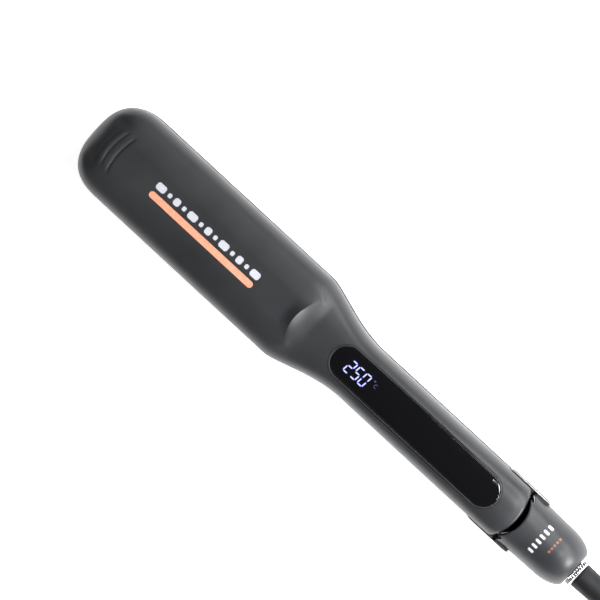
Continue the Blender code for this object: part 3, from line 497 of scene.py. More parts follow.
def half_width(along):
    """Half of the arm's width."""
    if along < TIP_PLAN_LENGTH:
        return PADDLE_HALF_WIDTH * arch(1 - along / TIP_PLAN_LENGTH, TIP_PLAN_EXPONENT)
    eased = max((along - SHOULDER_START) / SHOULDER_LENGTH, 0.0) ** 0.75
    return PADDLE_HALF_WIDTH - (PADDLE_HALF_WIDTH - HANDLE_HALF_WIDTH) * smooth(eased)


def crest(along):
    """Height of the crest over the middle plane, without the thumb stop."""
    height = PADDLE_CREST
    for start, length, rise in CREST_CHANGES:
        height += rise * smooth((along - start) / length)
    height -= REAR_DROP * max((along - REAR_DROP_START) / (ARM_REAR - REAR_DROP_START), 0.0) ** 2
    if along < TIP_SIDE_LENGTH:
        height = EDGE_HEIGHT + (height - EDGE_HEIGHT) * arch(1 - along / TIP_SIDE_LENGTH, TIP_SIDE_EXPONENT)
    return height


def top_at(along, y):
    """Height over the middle plane of the arm's surface, without the thumb stop and grooves."""
    share = arch(y / half_width(along), SECTION_EXPONENT)
    return min(EDGE_HEIGHT + (crest(along) - EDGE_HEIGHT) * share, FLAT_LIMIT)


def thumb_stop(along, y):
    """The curved ridge at the end of the paddle: a ramp up, a crisp edge and a fall that eases out."""
    behind = along - RIDGE - RIDGE_BOW * (y / RIDGE_REACH) ** 2
    height = STOP_HEIGHT * max(1 - (y / STOP_HALF_WIDTH) ** 2, 0.0) ** 2
    if behind < 0:
        return height * max(1 + behind / STOP_RAMP, 0.0) ** 2
    return height * max(1 - behind / STOP_FALL, 0.0) ** 3


def grooves(along, y):
    """Three shallow curved grip grooves near the tip."""
    depth = 0.0
    for start, deep in GROOVES:
        behind = along - start - GROOVE_BOW * (y / GROOVE_REACH) ** 2
        depth += deep * math.exp(-((behind / GROOVE_HALF_WIDTH) ** 2))
    return depth * (1 - smooth((abs(y) - GROOVE_REACH) / GROOVE_FADE + 1))


def bow(station, y):
    """How far a ring bends towards the cord, so that it follows the grooves and the thumb stop.

    It fades out towards the silhouette, which stays as half_width gives it.
    """
    near_ridge = math.exp(-(((station - RIDGE) / BEND_SPREAD) ** 2))
    near_grooves = smooth((station - 0.004) / 0.004) * (1 - smooth((station - 0.019) / 0.010))
    reach = min(abs(y), BEND_REACH) * (1 - smooth((abs(y) / half_width(station) - 0.56) / 0.30))
    to_ridge = RIDGE_BOW * (reach / RIDGE_REACH) ** 2 * near_ridge
    return to_ridge + GROOVE_BOW * (reach / GROOVE_REACH) ** 2 * near_grooves


def section(width, height, limit):
    """Evenly spaced (y, z) points of a superellipse arch standing on the edge height."""
    y, z = superellipse(np.linspace(0, math.pi, 721), SECTION_EXPONENT)
    z = np.minimum(EDGE_HEIGHT + (height - EDGE_HEIGHT) * z, limit)
    return spaced([width * y, z], ARM_COLUMNS)


def stations():
    """Places of the rings along the arm, closest at the tip and at the thumb stop."""
    tip = [TIP_PLAN_LENGTH * (i / 46) ** 1.25 + 0.00003 for i in range(46)]
    paddle = list(np.linspace(0.0223, 0.121, 26))
    stop = list(np.linspace(0.1215, RIDGE, 18))[:-1] + list(np.linspace(RIDGE, 0.139, 26))
    return tip + paddle + stop + list(np.linspace(0.1405, ARM_REAR, 48))


def arm_ring(station, back, inset, wall, rear, with_stop):
    """(along, y, z) of one ring; rear is the rear edge's end and radius; wall is above 0 on the inside."""
    shrink = inset + wall
    width = half_width(station) - shrink * min(1.0, half_width(station) / 0.010)
    height = max(crest(station) - shrink, EDGE_HEIGHT + 0.0003)
    across, up = section(max(width, 0.0004), height, FLAT_LIMIT - shrink)
    blend = max((station - REAR_BLEND_START) / (ARM_REAR - REAR_BLEND_START), 0.0)
    ring = []
    for y, z in zip(across, up):
        along = station if wall else station + bow(station, y)
        along += (round_end(*rear, y) - back - ARM_REAR) * blend
        if not wall and z > RELIEF_START:
            z += thumb_stop(along, y) * with_stop
            z -= grooves(along, y)
        if wall and along < INNER_TIP:
            along += wall * (1 - along / INNER_TIP)
        ring.append((along, y, z))
    return ring


def edge_strip(points, outer, inner):
    """Faces between an outer line of point numbers and an inner one that has fewer points."""
    faces, i, j = [], 0, 0
    while i < len(outer) - 1 or j < len(inner) - 1:
        ahead = points[outer[min(i + 1, len(outer) - 1)]][0]
        other = points[inner[min(j + 1, len(inner) - 1)]][0]
        if j == len(inner) - 1 or (i < len(outer) - 1 and ahead <= other):
            faces.append((outer[i], outer[i + 1], inner[j]))
            i += 1
        else:
            faces.append((outer[i], inner[j + 1], inner[j]))
            j += 1
    return faces


def arm_shell(name, side, rear, with_stop):
    """Hollow arm shell with a rounded rear edge; side is 1 for the upper arm and -1 for the lower one."""
    places = stations()
    rows = [(station, 0.0, 0.0, 0.0) for station in places[:-1]]
    for k in range(7):
        angle = math.pi / 2 * k / 6
        back, inset = (ARM_REAR_ROUNDING * (1 - turn) for turn in (math.sin(angle), math.cos(angle)))
        rows.append((places[-1], back, inset, 0.0))
    outside = len(rows)
    hollow = [station for station in places if station > 0.0004]
    rows += [(station, 0.0, 0.0, SHELL_WALL) for station in hollow[::3] + [ARM_REAR]]
    points, rings = [], []
    for row in rows:
        ring = arm_ring(*row, rear, with_stop)
        rings.append([len(points) + k for k in range(ARM_COLUMNS)])
        points += [(at(along), y, MID_HEIGHT + side * z) for along, y, z in ring]
    grid, inner = rings[:outside], rings[outside:]
    faces = [tuple(grid[0]), tuple(reversed(inner[0])), (grid[0][0], inner[0][0], inner[0][-1], grid[0][-1])]
    for first, second in zip(grid, grid[1:]):
        faces += strip(first, second)
    for first, second in zip(inner, inner[1:]):
        faces += strip(second, first)
    faces += strip(grid[-1], inner[-1])
    for end in (0, -1):
        faces += edge_strip(points, [ring[end] for ring in grid], [ring[end] for ring in inner])
    return mesh_object(name, points, faces)


def make_shells():
    """Both arm shells, the upper one with the pocket for the display and the groove for the accent bar."""
    upper = arm_shell("upper_shell_fine", 1, (ARM_REAR, ARM_REAR_RADIUS), True)
    start, end, half = WINDOW
    pocket = [(at(a), y) for a, y in stadium(start - WINDOW_SEAT, end + WINDOW_SEAT, half + WINDOW_SEAT)]
    low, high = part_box("accent_bar")
    gap = 0.0003
    bar = stadium(low.x - gap, high.x + gap, (high.y - low.y) / 2 + gap)
    groove = [(x, y + (high.y + low.y) / 2) for x, y in bar]
    cut(
        upper,
        prism("pocket_cutter", pocket, MID_HEIGHT + POCKET_FLOOR, ABOVE),
        prism("groove_cutter", groove, MID_HEIGHT + PADDLE_CREST - ACCENT_GROOVE_DEPTH, ABOVE),
        side_cylinder("boss_cutter", BOSS_HOLE),
    )
    place(upper, "upper_arm", "graphite_shell", "upper_shell")
    lower = arm_shell("lower_shell_fine", -1, (TAIL_RIM - gap, TAIL_RIM_RADIUS - gap), False)
    cut(lower, side_cylinder("boss_cutter", BOSS_HOLE))
    place(lower, "root", "graphite_shell", "lower_shell")


# Tail


def tail_section(travel, inset):
    """(y, z) ring of the tail: a superellipse that turns into a circle at its end."""
    exponent = SECTION_EXPONENT - smooth(travel)
    past = max(tail_along(travel) - (TAIL_END - TAIL_ROUNDING), 0.0) / TAIL_ROUNDING
    roll = 1 - math.sqrt(max(1 - past * past, 0.0))
    width = TAIL_HALF_WIDTH - TAIL_TAPER * travel
    height = TAIL_HALF_HEIGHT - TAIL_TAPER * travel
    width -= (width - TAIL_MOUTH) * roll
    height -= (height - TAIL_MOUTH) * roll
    y, z = superellipse(np.linspace(0, 2 * math.pi, 1441), exponent)
    across, up = spaced([(width - inset) * y, (height - inset) * z], TAIL_COLUMNS + 1)
    return across[:-1], up[:-1]


def tail_along(travel):
    """Distance from the tip, at the hinge for travel 0 and at the tail's end for 1."""
    return HINGE_ALONG + (TAIL_END - HINGE_ALONG) * travel


def rim_of_tail(y):
    """Where the tail's curved front rim lies along the iron."""
    return round_end(TAIL_RIM, TAIL_RIM_RADIUS, y)


def sweep_form():
    """The space that the upper arm's rear edge passes through while the arm opens."""
    clear, ahead, above, wider = SWEEP_CLEARANCE, -0.02, 0.03, 1.03
    sine, cosine = math.sin(OPEN_ANGLE), math.cos(OPEN_ANGLE)
    rings = []
    for i in range(41):
        y = -HANDLE_HALF_WIDTH * math.cos(math.pi * i / 40)
        share = arch(y / HANDLE_HALF_WIDTH, SECTION_EXPONENT)
        up = EDGE_HEIGHT + (crest(ARM_REAR) - EDGE_HEIGHT) * share
        back = round_end(ARM_REAR, ARM_REAR_RADIUS, y) - HINGE_ALONG
        reach, rest = math.hypot(up, back) + clear, math.atan2(up, back)
        low = EDGE_HEIGHT * cosine - back * sine - clear
        outline = [(ahead, low), (ahead, above), (back + clear, above)]
        turns = [rest - OPEN_ANGLE * k / 8 for k in range(9)]
        outline += [(reach * math.cos(turn), reach * math.sin(turn)) for turn in turns]
        outline.append((back * cosine + EDGE_HEIGHT * sine + clear, low))
        rings.append([(at(HINGE_ALONG) + x, y * wider, MID_HEIGHT + z) for x, z in outline])
    return mesh_object("sweep_cutter", *skin(rings))


def tail_ring(travel, inset=0.0, back=0.0):
    """One ring of the tail, from its curved front rim at travel 0 to its flat rear end at 1."""
    ring = []
    for y, z in zip(*tail_section(travel, inset)):
        front = rim_of_tail(y) + back
        ring.append((at(front + (tail_along(travel) - front) * travel), y, MID_HEIGHT + z))
    return ring


def make_tail():
    """Rear housing with a curved front rim, a rounded front edge and a hollow inside."""
    wall, rounding = 0.0015, 0.0005
    rings = [tail_ring(travel, wall) for travel in (0.90, 0.82, 0.6, 0.3, 0.0)]
    for k in range(5):
        angle = math.pi / 2 * k / 4
        rings.append(tail_ring(0.0, rounding * (1 - math.sin(angle)), rounding * (1 - math.cos(angle))))
    rings += [tail_ring(travel) for travel in np.linspace(0.03, 0.79, 26)]
    rings += [tail_ring(0.80 + 0.20 * math.sin(math.pi / 2 * k / 22)) for k in range(23)]
    tail = mesh_object("tail_housing_fine", *skin(rings))
    bore = [(0, 0.01), (BOSS_HOLE, 0.01), (BOSS_HOLE, -0.01), (0, -0.01)]
    cut(
        tail,
        sweep_form(),
        side_cylinder("boss_cutter", BOSS_HOLE),
        lathe("bore_cutter", bore, (at(TAIL_END), 0, MID_HEIGHT), "X", 48),
    )
    place(tail, "root", "graphite_shell", "tail_housing")


# Display and prints


def on_top(along, y, lift=0.0):
    """A place on top of the upper arm."""
    return (at(along), y, MID_HEIGHT + top_at(along, y) + lift)


def crest_band(name, start, end, half, insets, lifts, hole=False):
    """A stadium piece that follows the crest; insets and lifts give its rings from the edge inwards."""
    levels = [(0.0, -GLASS_DEPTH), *zip(insets, lifts)]
    if hole:
        levels.append((insets[-1], -GLASS_DEPTH))
    rings = []
    for inset, lift in levels:
        outline = stadium(start + inset, end - inset, half - inset, 40)
        rings.append([on_top(along, y, lift) for along, y in outline])
    return mesh_object(name, *skin(rings, looped=hole), math.radians(50))


def make_display():
    """The window's glass and the thin bezel round it."""
    start, end, half = WINDOW
    steps = [0.0, 0.00008, 0.0002, 0.0006, 0.0014, 0.0024, 0.0036, 0.005, 0.0064, 0.0076, 0.00785]
    lifts = [-0.00012, -0.00003] + [0.0] * 9
    glass = crest_band("display_glass", start, end, half, steps, lifts)
    place(glass, "upper_arm", "gloss_window", "display_window")
    steps, lifts = (0.0, 0.0001, 0.0004, 0.0005), (-0.0001, 0.0, 0.0, -0.0001)
    bezel = crest_band("display_rim", start - BEZEL, end + BEZEL, half + BEZEL, steps, lifts, hole=True)
    place(bezel, "upper_arm", "bezel", "display_bezel")


def patch(outline, lift, thickness, surface=on_top):
    """A thin printed or lit shape lying on a surface, from (along, y) points."""
    return skin([[surface(along, y, height) for along, y in outline] for height in (lift, lift + thickness)])


def joined(name, patches):
    """One mesh of several patches."""
    points, faces = [], []
    for made, sides in patches:
        offset = len(points)
        points += made
        faces += [tuple(index + offset for index in side) for side in sides]
    return mesh_object(name, points, faces)


def figure_bars(digit, left):
    """Bars of one seven-bar figure, as (along, y) outlines; figures read from the tip towards the cord."""
    half = BAR_THICKNESS / 2
    low, high = BAR_GAP + half, FIGURE_WIDTH - BAR_GAP - half
    middle = FIGURE_HEIGHT / 2
    levels = {0: FIGURE_HEIGHT - half, 3: middle, 6: half}
    sides = {1: (half, middle, FIGURE_HEIGHT), 2: (FIGURE_WIDTH - half, middle, FIGURE_HEIGHT)}
    sides |= {4: (half, 0.0, middle), 5: (FIGURE_WIDTH - half, 0.0, middle)}
    bars = []
    for number, lit in enumerate(FIGURES[digit]):
        if not lit:
            continue
        if number in levels:
            y = levels[number]
            shape = [(low, y), (low + half, y + half), (high - half, y + half), (high, y)]
            shape += [(high - half, y - half), (low + half, y - half)]
        else:
            x, start, stop = sides[number]
            start, stop = start + BAR_GAP + half / 2, stop - BAR_GAP - half / 2
            shape = [(x, start), (x + half, start + half), (x + half, stop - half), (x, stop)]
            shape += [(x - half, stop - half), (x - half, start + half)]
        bars.append([(left + x + FIGURE_LEAN * y, FIGURE_BASE + y) for x, y in shape])
    return bars


def arc(centre, half_length, half_height, start, stop, count):
    """Points of an elliptical arc."""
    along, y = centre
    angles = np.linspace(start, stop, count)
    return [(along + half_length * math.cos(a), y + half_height * math.sin(a)) for a in angles]


def make_figures():
    """The lit temperature, the glow round it and a dim unit mark."""
    lift, thick = 0.00003, 0.00006
    bars = []
    for number, digit in enumerate((2, 5, 0)):
        bars += figure_bars(digit, FIRST_FIGURE + FIGURE_PITCH * number)
    lit = joined("display_figures", [patch(bar, lift + 0.00002, thick) for bar in bars])
    place(lit, "upper_arm", "gloss_window", finish="lit_figures")
    grown = []
    for bar in bars:
        out = np.array(bar) - np.mean(bar, axis=0)
        out /= np.linalg.norm(out, axis=1, keepdims=True)
        grown.append([tuple(point) for point in np.array(bar) + out * HALO])
    halo = joined("display_halo", [patch(bar, lift, 0.00001) for bar in grown])
    place(halo, "upper_arm", "gloss_window", finish="figure_halo")
    degree = arc((0.1754, 0.0029), 0.00045, 0.00045, 0, 2 * math.pi, 17)[:-1]
    bow_middle = (0.1772, 0.0013)
    mark = arc(bow_middle, 0.0009, 0.0011, 0.9, 5.4, 13) + arc(bow_middle, 0.0006, 0.0008, 5.4, 0.9, 13)
    dim = joined("display_unit", [patch(shape, lift, thick) for shape in (degree, mark)])
    place(dim, "upper_arm", "gloss_window", finish="dim_unit")


def bar_outline(left, low, length, height):
    """A small bar with slightly cut corners."""
    corner = min(length, height) * 0.22
    right, high = left + length, low + height
    outline = [(left + corner, low), (right - corner, low), (right, low + corner), (right, high - corner)]
    outline += [(right - corner, high), (left + corner, high), (left, high - corner), (left, low + corner)]
    return outline


def tail_row(name, finish, along, tall, low, high, count, fill):
    """Dashes side by side round the tail."""
    pitch = (high - low) / count
    bars = []
    for k in range(count):
        outline = bar_outline(along, low + pitch * (k + 0.5 - fill / 2), tall, pitch * fill)
        bars.append(patch(split_edges(outline), 0.00001, 0.00005, on_tail))
    place(joined(name, bars), "root", "graphite_shell", finish=finish)


def make_prints():
    """A plain row of light bars on the paddle and two rows of dashes on the tail, in place of any wording."""
    wide, middling, small = 0.0052, 0.0034, 0.0020
    lengths = (wide, small, middling, small) * 3 + (wide,)
    step = (PRINT_LENGTH - sum(lengths)) / (len(lengths) - 1)
    start, bars = PRINT_START, []
    for length in lengths:
        tall = 0.0022 if length == small else 0.0036
        bars.append(patch(bar_outline(start, PRINT_MIDDLE - tall / 2, length, tall), 0.0, 0.00005))
        start += length + step
    place(joined("paddle_print", bars), "upper_arm", "graphite_shell", finish="pale_ink")
    tail_row("tail_print", "pale_ink", 0.2780, 0.0030, -0.0072, 0.0092, 6, 0.46)
    tail_row("tail_line", "salmon_ink", 0.2856, 0.0012, -0.0015, 0.0078, 5, 0.66)


def split_edges(outline, parts=6):
    """The same outline with points added along its edges, so that it follows a curved surface."""
    result = []
    for (a, b), (c, d) in zip(outline, outline[1:] + outline[:1]):
        result += [(a + (c - a) * k / parts, b + (d - b) * k / parts) for k in range(parts)]
    return result


def on_tail(along, y, lift=0.0):
    """A place on top of the tail."""
    low, high = 0.0, 1.0
    front = rim_of_tail(y)
    for _ in range(24):
        travel = (low + high) / 2
        if front + (tail_along(travel) - front) * travel < along:
            low = travel
        else:
            high = travel
    across, up = tail_section(travel, 0.0)
    top = up > 0
    order = np.argsort(across[top])
    return (at(along), y, MID_HEIGHT + float(np.interp(y, across[top][order], up[top][order])) + lift)


# Swivel ring, guard, tie, plug and side plates


def make_ring():
    """Chrome ring with rounded knurling between two plain lips."""
    start, end, radius, bore, teeth = 0.3003, 0.3027, 0.00725, 0.0049, 32
    profile = [(bore, start), (radius - 0.0004, start), (radius - 0.0001, start + 0.00025)]
    profile += [(radius, start + 0.0005 + 0.0014 * k / 6) for k in range(7)]
    profile += [(radius - 0.0001, end - 0.00025), (radius - 0.0004, end), (bore, end)]

    def knurl(angle, height):
        inside = start + 0.0004 < height < end - 0.0004
        return -0.00065 * (0.5 + 0.5 * math.cos(teeth * angle)) ** 1.5 if inside else 0.0

    ring = lathe("swivel_ring_fine", profile, (at(0), 0, MID_HEIGHT), "X", 10 * teeth, knurl)
    place(ring, "swivel", "chrome", "swivel_ring")


def guard_radius(behind):
    """The guard tapers towards its mouth."""
    return 0.0063 - 0.0019 * behind / 0.0606


def make_guard():
    """Rubber guard with a plain root, eight bending ribs and a rounded mouth."""
    start, length = 0.3030, 0.0606
    profile = [(0.0, 0.0), (0.0052, 0.0), (0.0060, 0.00025), (guard_radius(0), 0.0009)]
    profile += [(guard_radius(b), b) for b in np.linspace(0.002, 0.021, 12)]
    for rib in range(8):
        begin = 0.022 + 0.0045 * rib
        for b, deep in ((-0.0003, 0.0), (0, 0.0002), (0.0003, 0.0011), (0.0012, 0.0011), (0.0016, 0.0002)):
            profile.append((guard_radius(begin + b) - deep, begin + b))
        profile += [(guard_radius(begin + b), begin + b) for b in (0.0020, 0.0030)]
    mouth = guard_radius(length)
    profile += [(mouth - 0.0001, length - 0.0008), (mouth - 0.0006, length - 0.0001)]
    profile += [(0.0036, length), (0.0, length)]
    guard = lathe("cord_guard_fine", profile, (at(start), 0, MID_HEIGHT), "X", 72)
    place(guard, "swivel", "rubber", "cord_guard")


def make_tie():
    """Strap round the waist of the hank."""
    half, low, top, corner, thick = 0.0140, 0.0001, 0.0278, 0.0042, 0.0011
    centres = ((half - corner, top - corner, 0), (corner - half, top - corner, 90))
    centres += ((corner - half, low + thick + corner, 180), (half - corner, low + thick + corner, 270))
    edge = 0.0003
    rim = [(-1, edge), (-1, thick - edge), (-0.95, thick), (0.95, thick), (1, thick - edge), (1, edge)]
    rim += [(0.95, 0.0), (-0.95, 0.0)]
    rings = []
    for y, z, first in centres:
        for k in range(9):
            angle = math.radians(first + 90 * k / 8)
            ring = []
            for across, out in rim:
                reach = corner + out
                beside = (y + reach * math.cos(angle), z + reach * math.sin(angle))
                ring.append((HANK_MIDDLE + TIE_HALF * across, HANK_SIDE + beside[0], beside[1]))
            rings.append(ring)
    return place(mesh_object("hank_tie_fine", *skin(rings, looped=True)), "root", "rubber", "hank_tie")


def make_plug():
    """Flat two-pin plug with a waisted neck, soft edges and sleeved pins."""
    start, length = HANK_MIDDLE + 0.014, 0.038
    middle = 0.0263 + 0.00685
    knots = (0.0, 0.006, 0.011, 0.016, 0.022, 0.028, 0.034, 0.0372, 0.038)
    widths = (0.0048, 0.0052, 0.0064, 0.0094, 0.0122, 0.0130, 0.0131, 0.0128, 0.0120)
    heights = (0.0044, 0.0048, 0.0056, 0.0063, 0.0067, 0.00685, 0.00685, 0.0066, 0.0058)
    across, up = superellipse(np.linspace(0, 2 * math.pi, 57)[:-1], SECTION_EXPONENT)
    rings = []
    for behind in [*np.linspace(0, 0.034, 30), *np.linspace(0.0345, length, 9)]:
        groove = 0.0004 * math.exp(-(((behind - 0.0262) / 0.0005) ** 2))
        width = np.interp(behind, knots, widths) - groove
        height = np.interp(behind, knots, heights) - groove
        section_points = zip(width * across, height * up)
        rings.append([(start + behind, HANK_SIDE + y, middle + z) for y, z in section_points])
    pieces = [place(mesh_object("plug_body_fine", *skin(rings)), "root", "rubber", "plug_body")]
    profile = [(0.0, 0.0), (0.0020, 0.0), (0.0020, 0.0170), (0.0018, 0.0182), (0.0011, 0.0189), (0.0, 0.0190)]
    for side, name in ((1, "left"), (-1, "right")):
        base = (start + length + 0.0003, HANK_SIDE + side * 0.0093, middle)
        pin = lathe(f"plug_pin_{name}_fine", profile, base, "X", 32)
        pieces.append(place(pin, "root", "brass", f"plug_pin_{name}"))
    return pieces


def side_slab(name, outline, inner, outer, hole=()):
    """A slab from (x, z) points about the hinge, between two y, with an opening of equally many points."""
    loops = [(outline, inner), (outline, outer)]
    if hole:
        loops += [(hole, outer), (hole, inner)]
    rings = [[(at(HINGE_ALONG) + x, y, MID_HEIGHT + z) for x, z in loop] for loop, y in loops]
    return mesh_object(name, *skin(rings, looped=bool(hole)))


def rounded(half_x, half_z, corner):
    """Rounded rectangle about the hinge, as (x, z) points."""
    outline = []
    for k, (a, b) in enumerate(((1, 1), (-1, 1), (-1, -1), (1, -1))):
        for i in range(8):
            angle = math.radians(90 * k + 90 * i / 7)
            x, z = a * (half_x - corner), b * (half_z - corner)
            outline.append((x + corner * math.cos(angle), z + corner * math.sin(angle)))
    return outline


def make_side_plates():
    """Plates on both sides of the hinge: a bright rim, a dark plate on its boss and a seat on the tail."""
    for side, name in ((1, "left"), (-1, "right")):
        outline, opening = rounded(0.0125, 0.0060, 0.0030), rounded(0.0116, 0.0051, 0.0021)
        inner, outer = side * 0.01474, side * 0.01512
        rim = side_slab(f"hinge_rim_{name}_fine", outline, inner, outer, opening)
        soft = rim.modifiers.new("soft_edges", "BEVEL")
        soft.width, soft.segments = 0.0001, 2
        place(rim, "root", "chrome", f"hinge_rim_{name}")
        plate = side_slab(f"hinge_cap_{name}_fine", rounded(0.0114, 0.0049, 0.0019), inner, side * 0.01498)
        place(plate, "root", "black_plastic", f"hinge_cap_{name}")
        deep, face = side * 0.0125, side * 0.0149
        profile = [(0.0, deep), (0.0046, deep), (0.0046, face), (0.0, face)]
        boss = lathe(f"hinge_boss_{name}_fine", profile, (at(HINGE_ALONG), 0, MID_HEIGHT), "Y", 48)
        place(boss, "root", "black_plastic")
        corners = [(0.0054, -0.0054), (0.0120, -0.0050), (0.0120, 0.0050), (0.0054, 0.0054)]
        seat = side_slab(f"hinge_seat_{name}", corners, side * 0.0137, side * 0.0148)
        place(seat, "root", "graphite_shell")


# Cord


def waist(x):
    """How far the tie pulls the strands in at x behind the hank's middle."""
    return HANK_PINCH * math.cos(math.pi * x / (2 * HANK_HALF_RUN)) ** 2 if abs(x) < HANK_HALF_RUN else 0.0


def layer_height(layer):
    """Height of a layer's centre line."""
    return CORD_RADIUS + CORD_DIAMETER * layer


def over_strap(x):
    """How far the strap under the strands lifts them."""
    return 0.0016 * (1 - smooth((abs(x) - TIE_HALF) / 0.010))


def hank_turns():
    """The folded turns and the run to the plug, before they settle against each other."""
    points = []
    for number, (turn, layer) in enumerate(TURNS):
        height = layer_height(layer)
        runs = np.linspace(-HANK_HALF_RUN, HANK_HALF_RUN, 30)
        if number:
            points += [(x, turn - waist(x), height + over_strap(x)) for x in runs]
        else:
            for x in np.linspace(HANK_ENTRY, HANK_HALF_RUN, 36):
                aside = ENTRY_ASIDE * (1 - smooth((x - HANK_ENTRY) / 0.048))
                points.append((x, turn - waist(x) + aside, height + over_strap(x)))
        for a in np.radians(np.linspace(90, -90, 30)[1:-1]):
            points.append((HANK_HALF_RUN + turn * math.cos(a), turn * math.sin(a), height))
        points += [(x, -turn + waist(x), height + over_strap(x)) for x in runs[::-1]]
        last = number == len(TURNS) - 1
        following = (LAST_TURN, layer + 1) if last else TURNS[number + 1]
        for angle in np.linspace(-90, -270, 30)[1:-1]:
            a = math.radians(angle)
            share = smooth((-90 - angle) / 180)
            reach = turn + (following[0] - turn) * share
            rise = (layer_height(following[1]) - height) * share
            points.append((-HANK_HALF_RUN + reach * math.cos(a), reach * math.sin(a), height + rise))
    top = layer_height(len({layer for _, layer in TURNS}))
    for x in np.linspace(-HANK_HALF_RUN, 0.0138, 24):
        share = smooth((x + HANK_HALF_RUN) / 0.0555)
        rise = smooth((x + HANK_HALF_RUN) / 0.034)
        points.append((x, LAST_TURN * (1 - share), top + (CORD_TOP - top) * rise))
    return [(HANK_MIDDLE + x, HANK_SIDE + y, z) for x, y, z in points]


def settle(points, held_start, held_end, rounds=220):
    """Pushes strands out of each other and keeps the spacing, the bends and the floor."""
    points = points.copy()
    first = points.copy()
    count = len(points)
    step = np.linalg.norm(np.diff(points, axis=0), axis=1).mean()
    index = np.arange(count)
    apart = np.abs(index[:, None] - index[None, :]) > 5
    movable = (index >= held_start) & (index < count - held_end)
    for _ in range(rounds):
        offset = points[:, None, :] - points[None, :, :]
        distance = np.sqrt((offset**2).sum(2)) + 1e-9
        push = np.where(apart & (distance < CORD_DIAMETER), CORD_DIAMETER - distance, 0.0)
        move = (offset / distance[:, :, None] * push[:, :, None]).sum(1) * 0.22
        points[movable] += move[movable]
        for _ in range(2):
            edge = np.diff(points, axis=0)
            length = np.linalg.norm(edge, axis=1, keepdims=True)
            fix = edge * (1 - step / length) * 0.4
            change = np.zeros_like(points)
            change[:-1] += fix
            change[1:] -= fix
            points[movable] += change[movable]
        bend = (points[:-2] + points[2:]) / 2 - points[1:-1]
        inner = movable[1:-1]
        points[1:-1][inner] += bend[inner] * 0.05
        bow = (points[: -2 * BOW] + points[2 * BOW :]) / 2 - points[BOW:-BOW]
        depth = np.linalg.norm(bow, axis=1, keepdims=True) + 1e-9
        ease = bow * np.maximum(1 - SOFTEST_BOW / depth, 0) * 0.35
        inner = movable[BOW:-BOW]
        points[BOW:-BOW][inner] += ease[inner]
        near = np.abs(points[:, 0] - HANK_MIDDLE) < TIE_HALF + 0.003
        floor = CORD_RADIUS + np.where(near, STRAP + 0.0003, 0.0)
        points[movable, 2] = np.maximum(points[movable, 2], floor[movable])
        points[movable] += (first - points)[movable] * 0.004
    return points


def cord_route():
    """Centre line of the cord, from the guard to the plug."""
    lead = [(CORD_START + x, y, z) for x, y, z in LEAD_ROUTE]
    start = (HANK_MIDDLE + HANK_ENTRY, HANK_SIDE + OUTER_TURN + ENTRY_ASIDE, CORD_RADIUS)
    lead = np.array([*lead, start])
    turns = np.array(hank_turns())
    line = np.concatenate([smooth_through(lead, 12)[:-1], turns])
    length = np.linalg.norm(np.diff(line, axis=0), axis=1).sum()
    line = np.stack(spaced(line.T, int(round(length / CORD_RADIUS)) + 1), axis=1)
    held = int(0.085 / CORD_RADIUS)
    return settle(line, held, 8)


def smooth_through(points, per_span):
    """A Catmull-Rom curve through the points."""
    points = np.array(points, float)
    ends = np.concatenate([[2 * points[0] - points[1]], points, [2 * points[-1] - points[-2]]])
    result = []
    for a, b, c, d in zip(ends, ends[1:], ends[2:], ends[3:]):
        for i in range(per_span):
            t = i / per_span
            step = (c - a) * t + (2 * a - 5 * b + 4 * c - d) * t**2 + (3 * b - a - 3 * c + d) * t**3
            result.append(b + step / 2)
    return np.array([*result, points[-1]])


def make_cord(end_pieces):
    """The whole mains cord as one tube."""
    route = cord_route()
    fine = smooth_through(route[::2], 4)
    curve = bpy.data.curves.new("mains_cord", "CURVE")
    curve.dimensions = "3D"
    curve.bevel_depth = 1.0  # times the radius of each point
    curve.bevel_resolution = 4
    curve.use_fill_caps = True
    spline = curve.splines.new("POLY")
    spline.points.add(len(fine) - 1)
    spline.points.foreach_set("co", np.hstack([fine, np.ones((len(fine), 1))]).ravel())
    spline.points.foreach_set("radius", np.full(len(fine), CORD_RADIUS))
    spline.use_smooth = True
    cord = add_object("mains_cord", curve)
    place(cord, "root", "cord", "cord_lead", "cord_hank")


# Floor, light and camera


def make_floor():
    """Plain pale floor, bright enough to pass into the white of the background."""
    bm = bmesh.new()
    bmesh.ops.create_grid(bm, x_segments=8, y_segments=8, size=FLOOR_HALF_SIZE)
    mesh = bpy.data.meshes.new("floor")
    bm.to_mesh(mesh)
    bm.free()
    floor = add_object("floor", mesh)
    floor.location.z = FLOOR_HEIGHT
    paint = Paint("floor_paper", (0.93, 0.93, 0.93), 0.9, Emission_Color=(1, 1, 1, 1), Emission_Strength=0.88)
    paint.tint(paint.noise(6, 2.0), (0.925, 0.925, 0.925), (0.94, 0.94, 0.94))
    paint.rough(paint.noise(20, 2.0), 0.85, 0.95)
    mesh.materials.append(paint.material)


def add_light(data, spot, target, energy):
    """Puts a light at spot, aimed at target."""
    data.energy = energy
    light = add_object(data.name, data)
    light.location = spot
    light.rotation_euler = (Vector(spot) - Vector(target)).to_track_quat("Z", "Y").to_euler()


def area_light(name, spot, target, size, energy):
    data = bpy.data.lights.new(name, "AREA")
    data.shape = "RECTANGLE"
    data.size, data.size_y = size
    add_light(data, spot, target, energy)


def spot_light(name, spot, target, angle, radius, energy):
    data = bpy.data.lights.new(name, "SPOT")
    data.spot_size = math.radians(angle)
    data.spot_blend = 1.0
    data.shadow_soft_size = radius
    add_light(data, spot, target, energy)


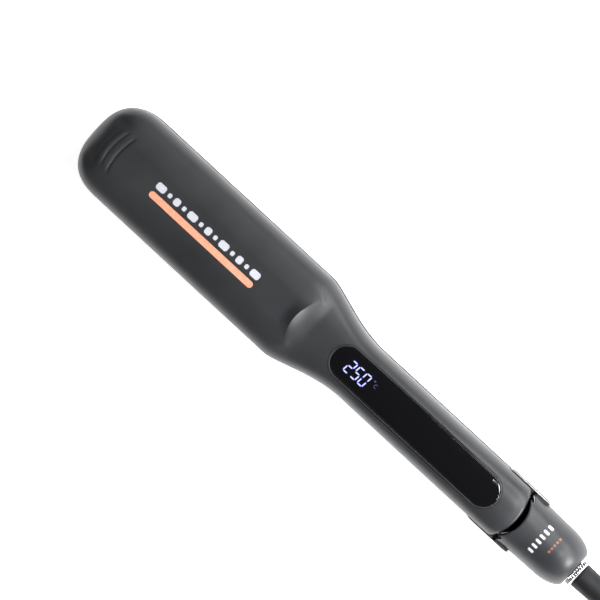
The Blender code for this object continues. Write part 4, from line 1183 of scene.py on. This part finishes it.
def make_light():
    """Large soft lights round the table and a dark ceiling, so that gloss reads dark from above."""
    world = bpy.data.worlds.new("studio")
    bpy.context.scene.world = world
    world.use_nodes = True
    tree = world.node_tree
    where = tree.nodes.new("ShaderNodeTexCoord").outputs["Generated"]
    split = tree.nodes.new("ShaderNodeSeparateXYZ")
    ranged = tree.nodes.new("ShaderNodeMapRange")
    ranged.interpolation_type = "SMOOTHSTEP"
    for socket, value in (("From Min", 0.05), ("From Max", 0.90), ("To Min", 0.30), ("To Max", 0.04)):
        ranged.inputs[socket].default_value = value
    tree.links.new(where, split.inputs["Vector"])
    tree.links.new(split.outputs["Z"], ranged.inputs["Value"])
    tree.links.new(ranged.outputs["Result"], tree.nodes["Background"].inputs["Color"])
    area_light("key", (0.50, 0.95, 0.80), (0.02, 0, 0), (1.0, 0.5), 15)
    area_light("end", (1.10, 0.22, 0.62), (0.05, 0, 0), (0.5, 0.35), 27)
    spot_light("handle", (0.42, 0.42, 1.30), (0.075, 0, 0.03), 24, 0.22, 54)
    area_light("fill", (-0.5, -1.1, 1.2), (0, 0, 0), (1.2, 0.5), 0.6)


def make_camera(pitch, roll, lens, distance, target):
    """A camera above the target, leaning by pitch along the iron and by roll across it."""
    back = Vector((math.sin(pitch), math.sin(roll) * math.cos(pitch), math.cos(roll) * math.cos(pitch)))
    along = Vector((1, 0, 0))
    along = (along - back * along.dot(back)).normalized()
    across = back.cross(along)
    right = along * AXIS_ACROSS + across * AXIS_DOWN
    up = across * AXIS_ACROSS - along * AXIS_DOWN
    data = bpy.data.cameras.new("camera")
    data.lens = lens
    camera = add_object("camera", data)
    turn = Matrix((right, up, back)).transposed().to_4x4()
    camera.matrix_world = Matrix.Translation(Vector(target) + back * distance) @ turn
    bpy.context.scene.camera = camera


make_shells()
make_tail()
make_side_plates()
make_display()
make_figures()
make_prints()
make_ring()
make_guard()
tie = make_tie()
make_cord([*make_plug(), tie])
make_floor()
make_light()
camera_target = (at(0.1236) + 0.0012, 0.0070, 0.0376)
make_camera(math.radians(5), math.radians(4.5), lens=300, distance=2.287, target=camera_target)
bpy.context.scene.view_settings.view_transform = "Standard"
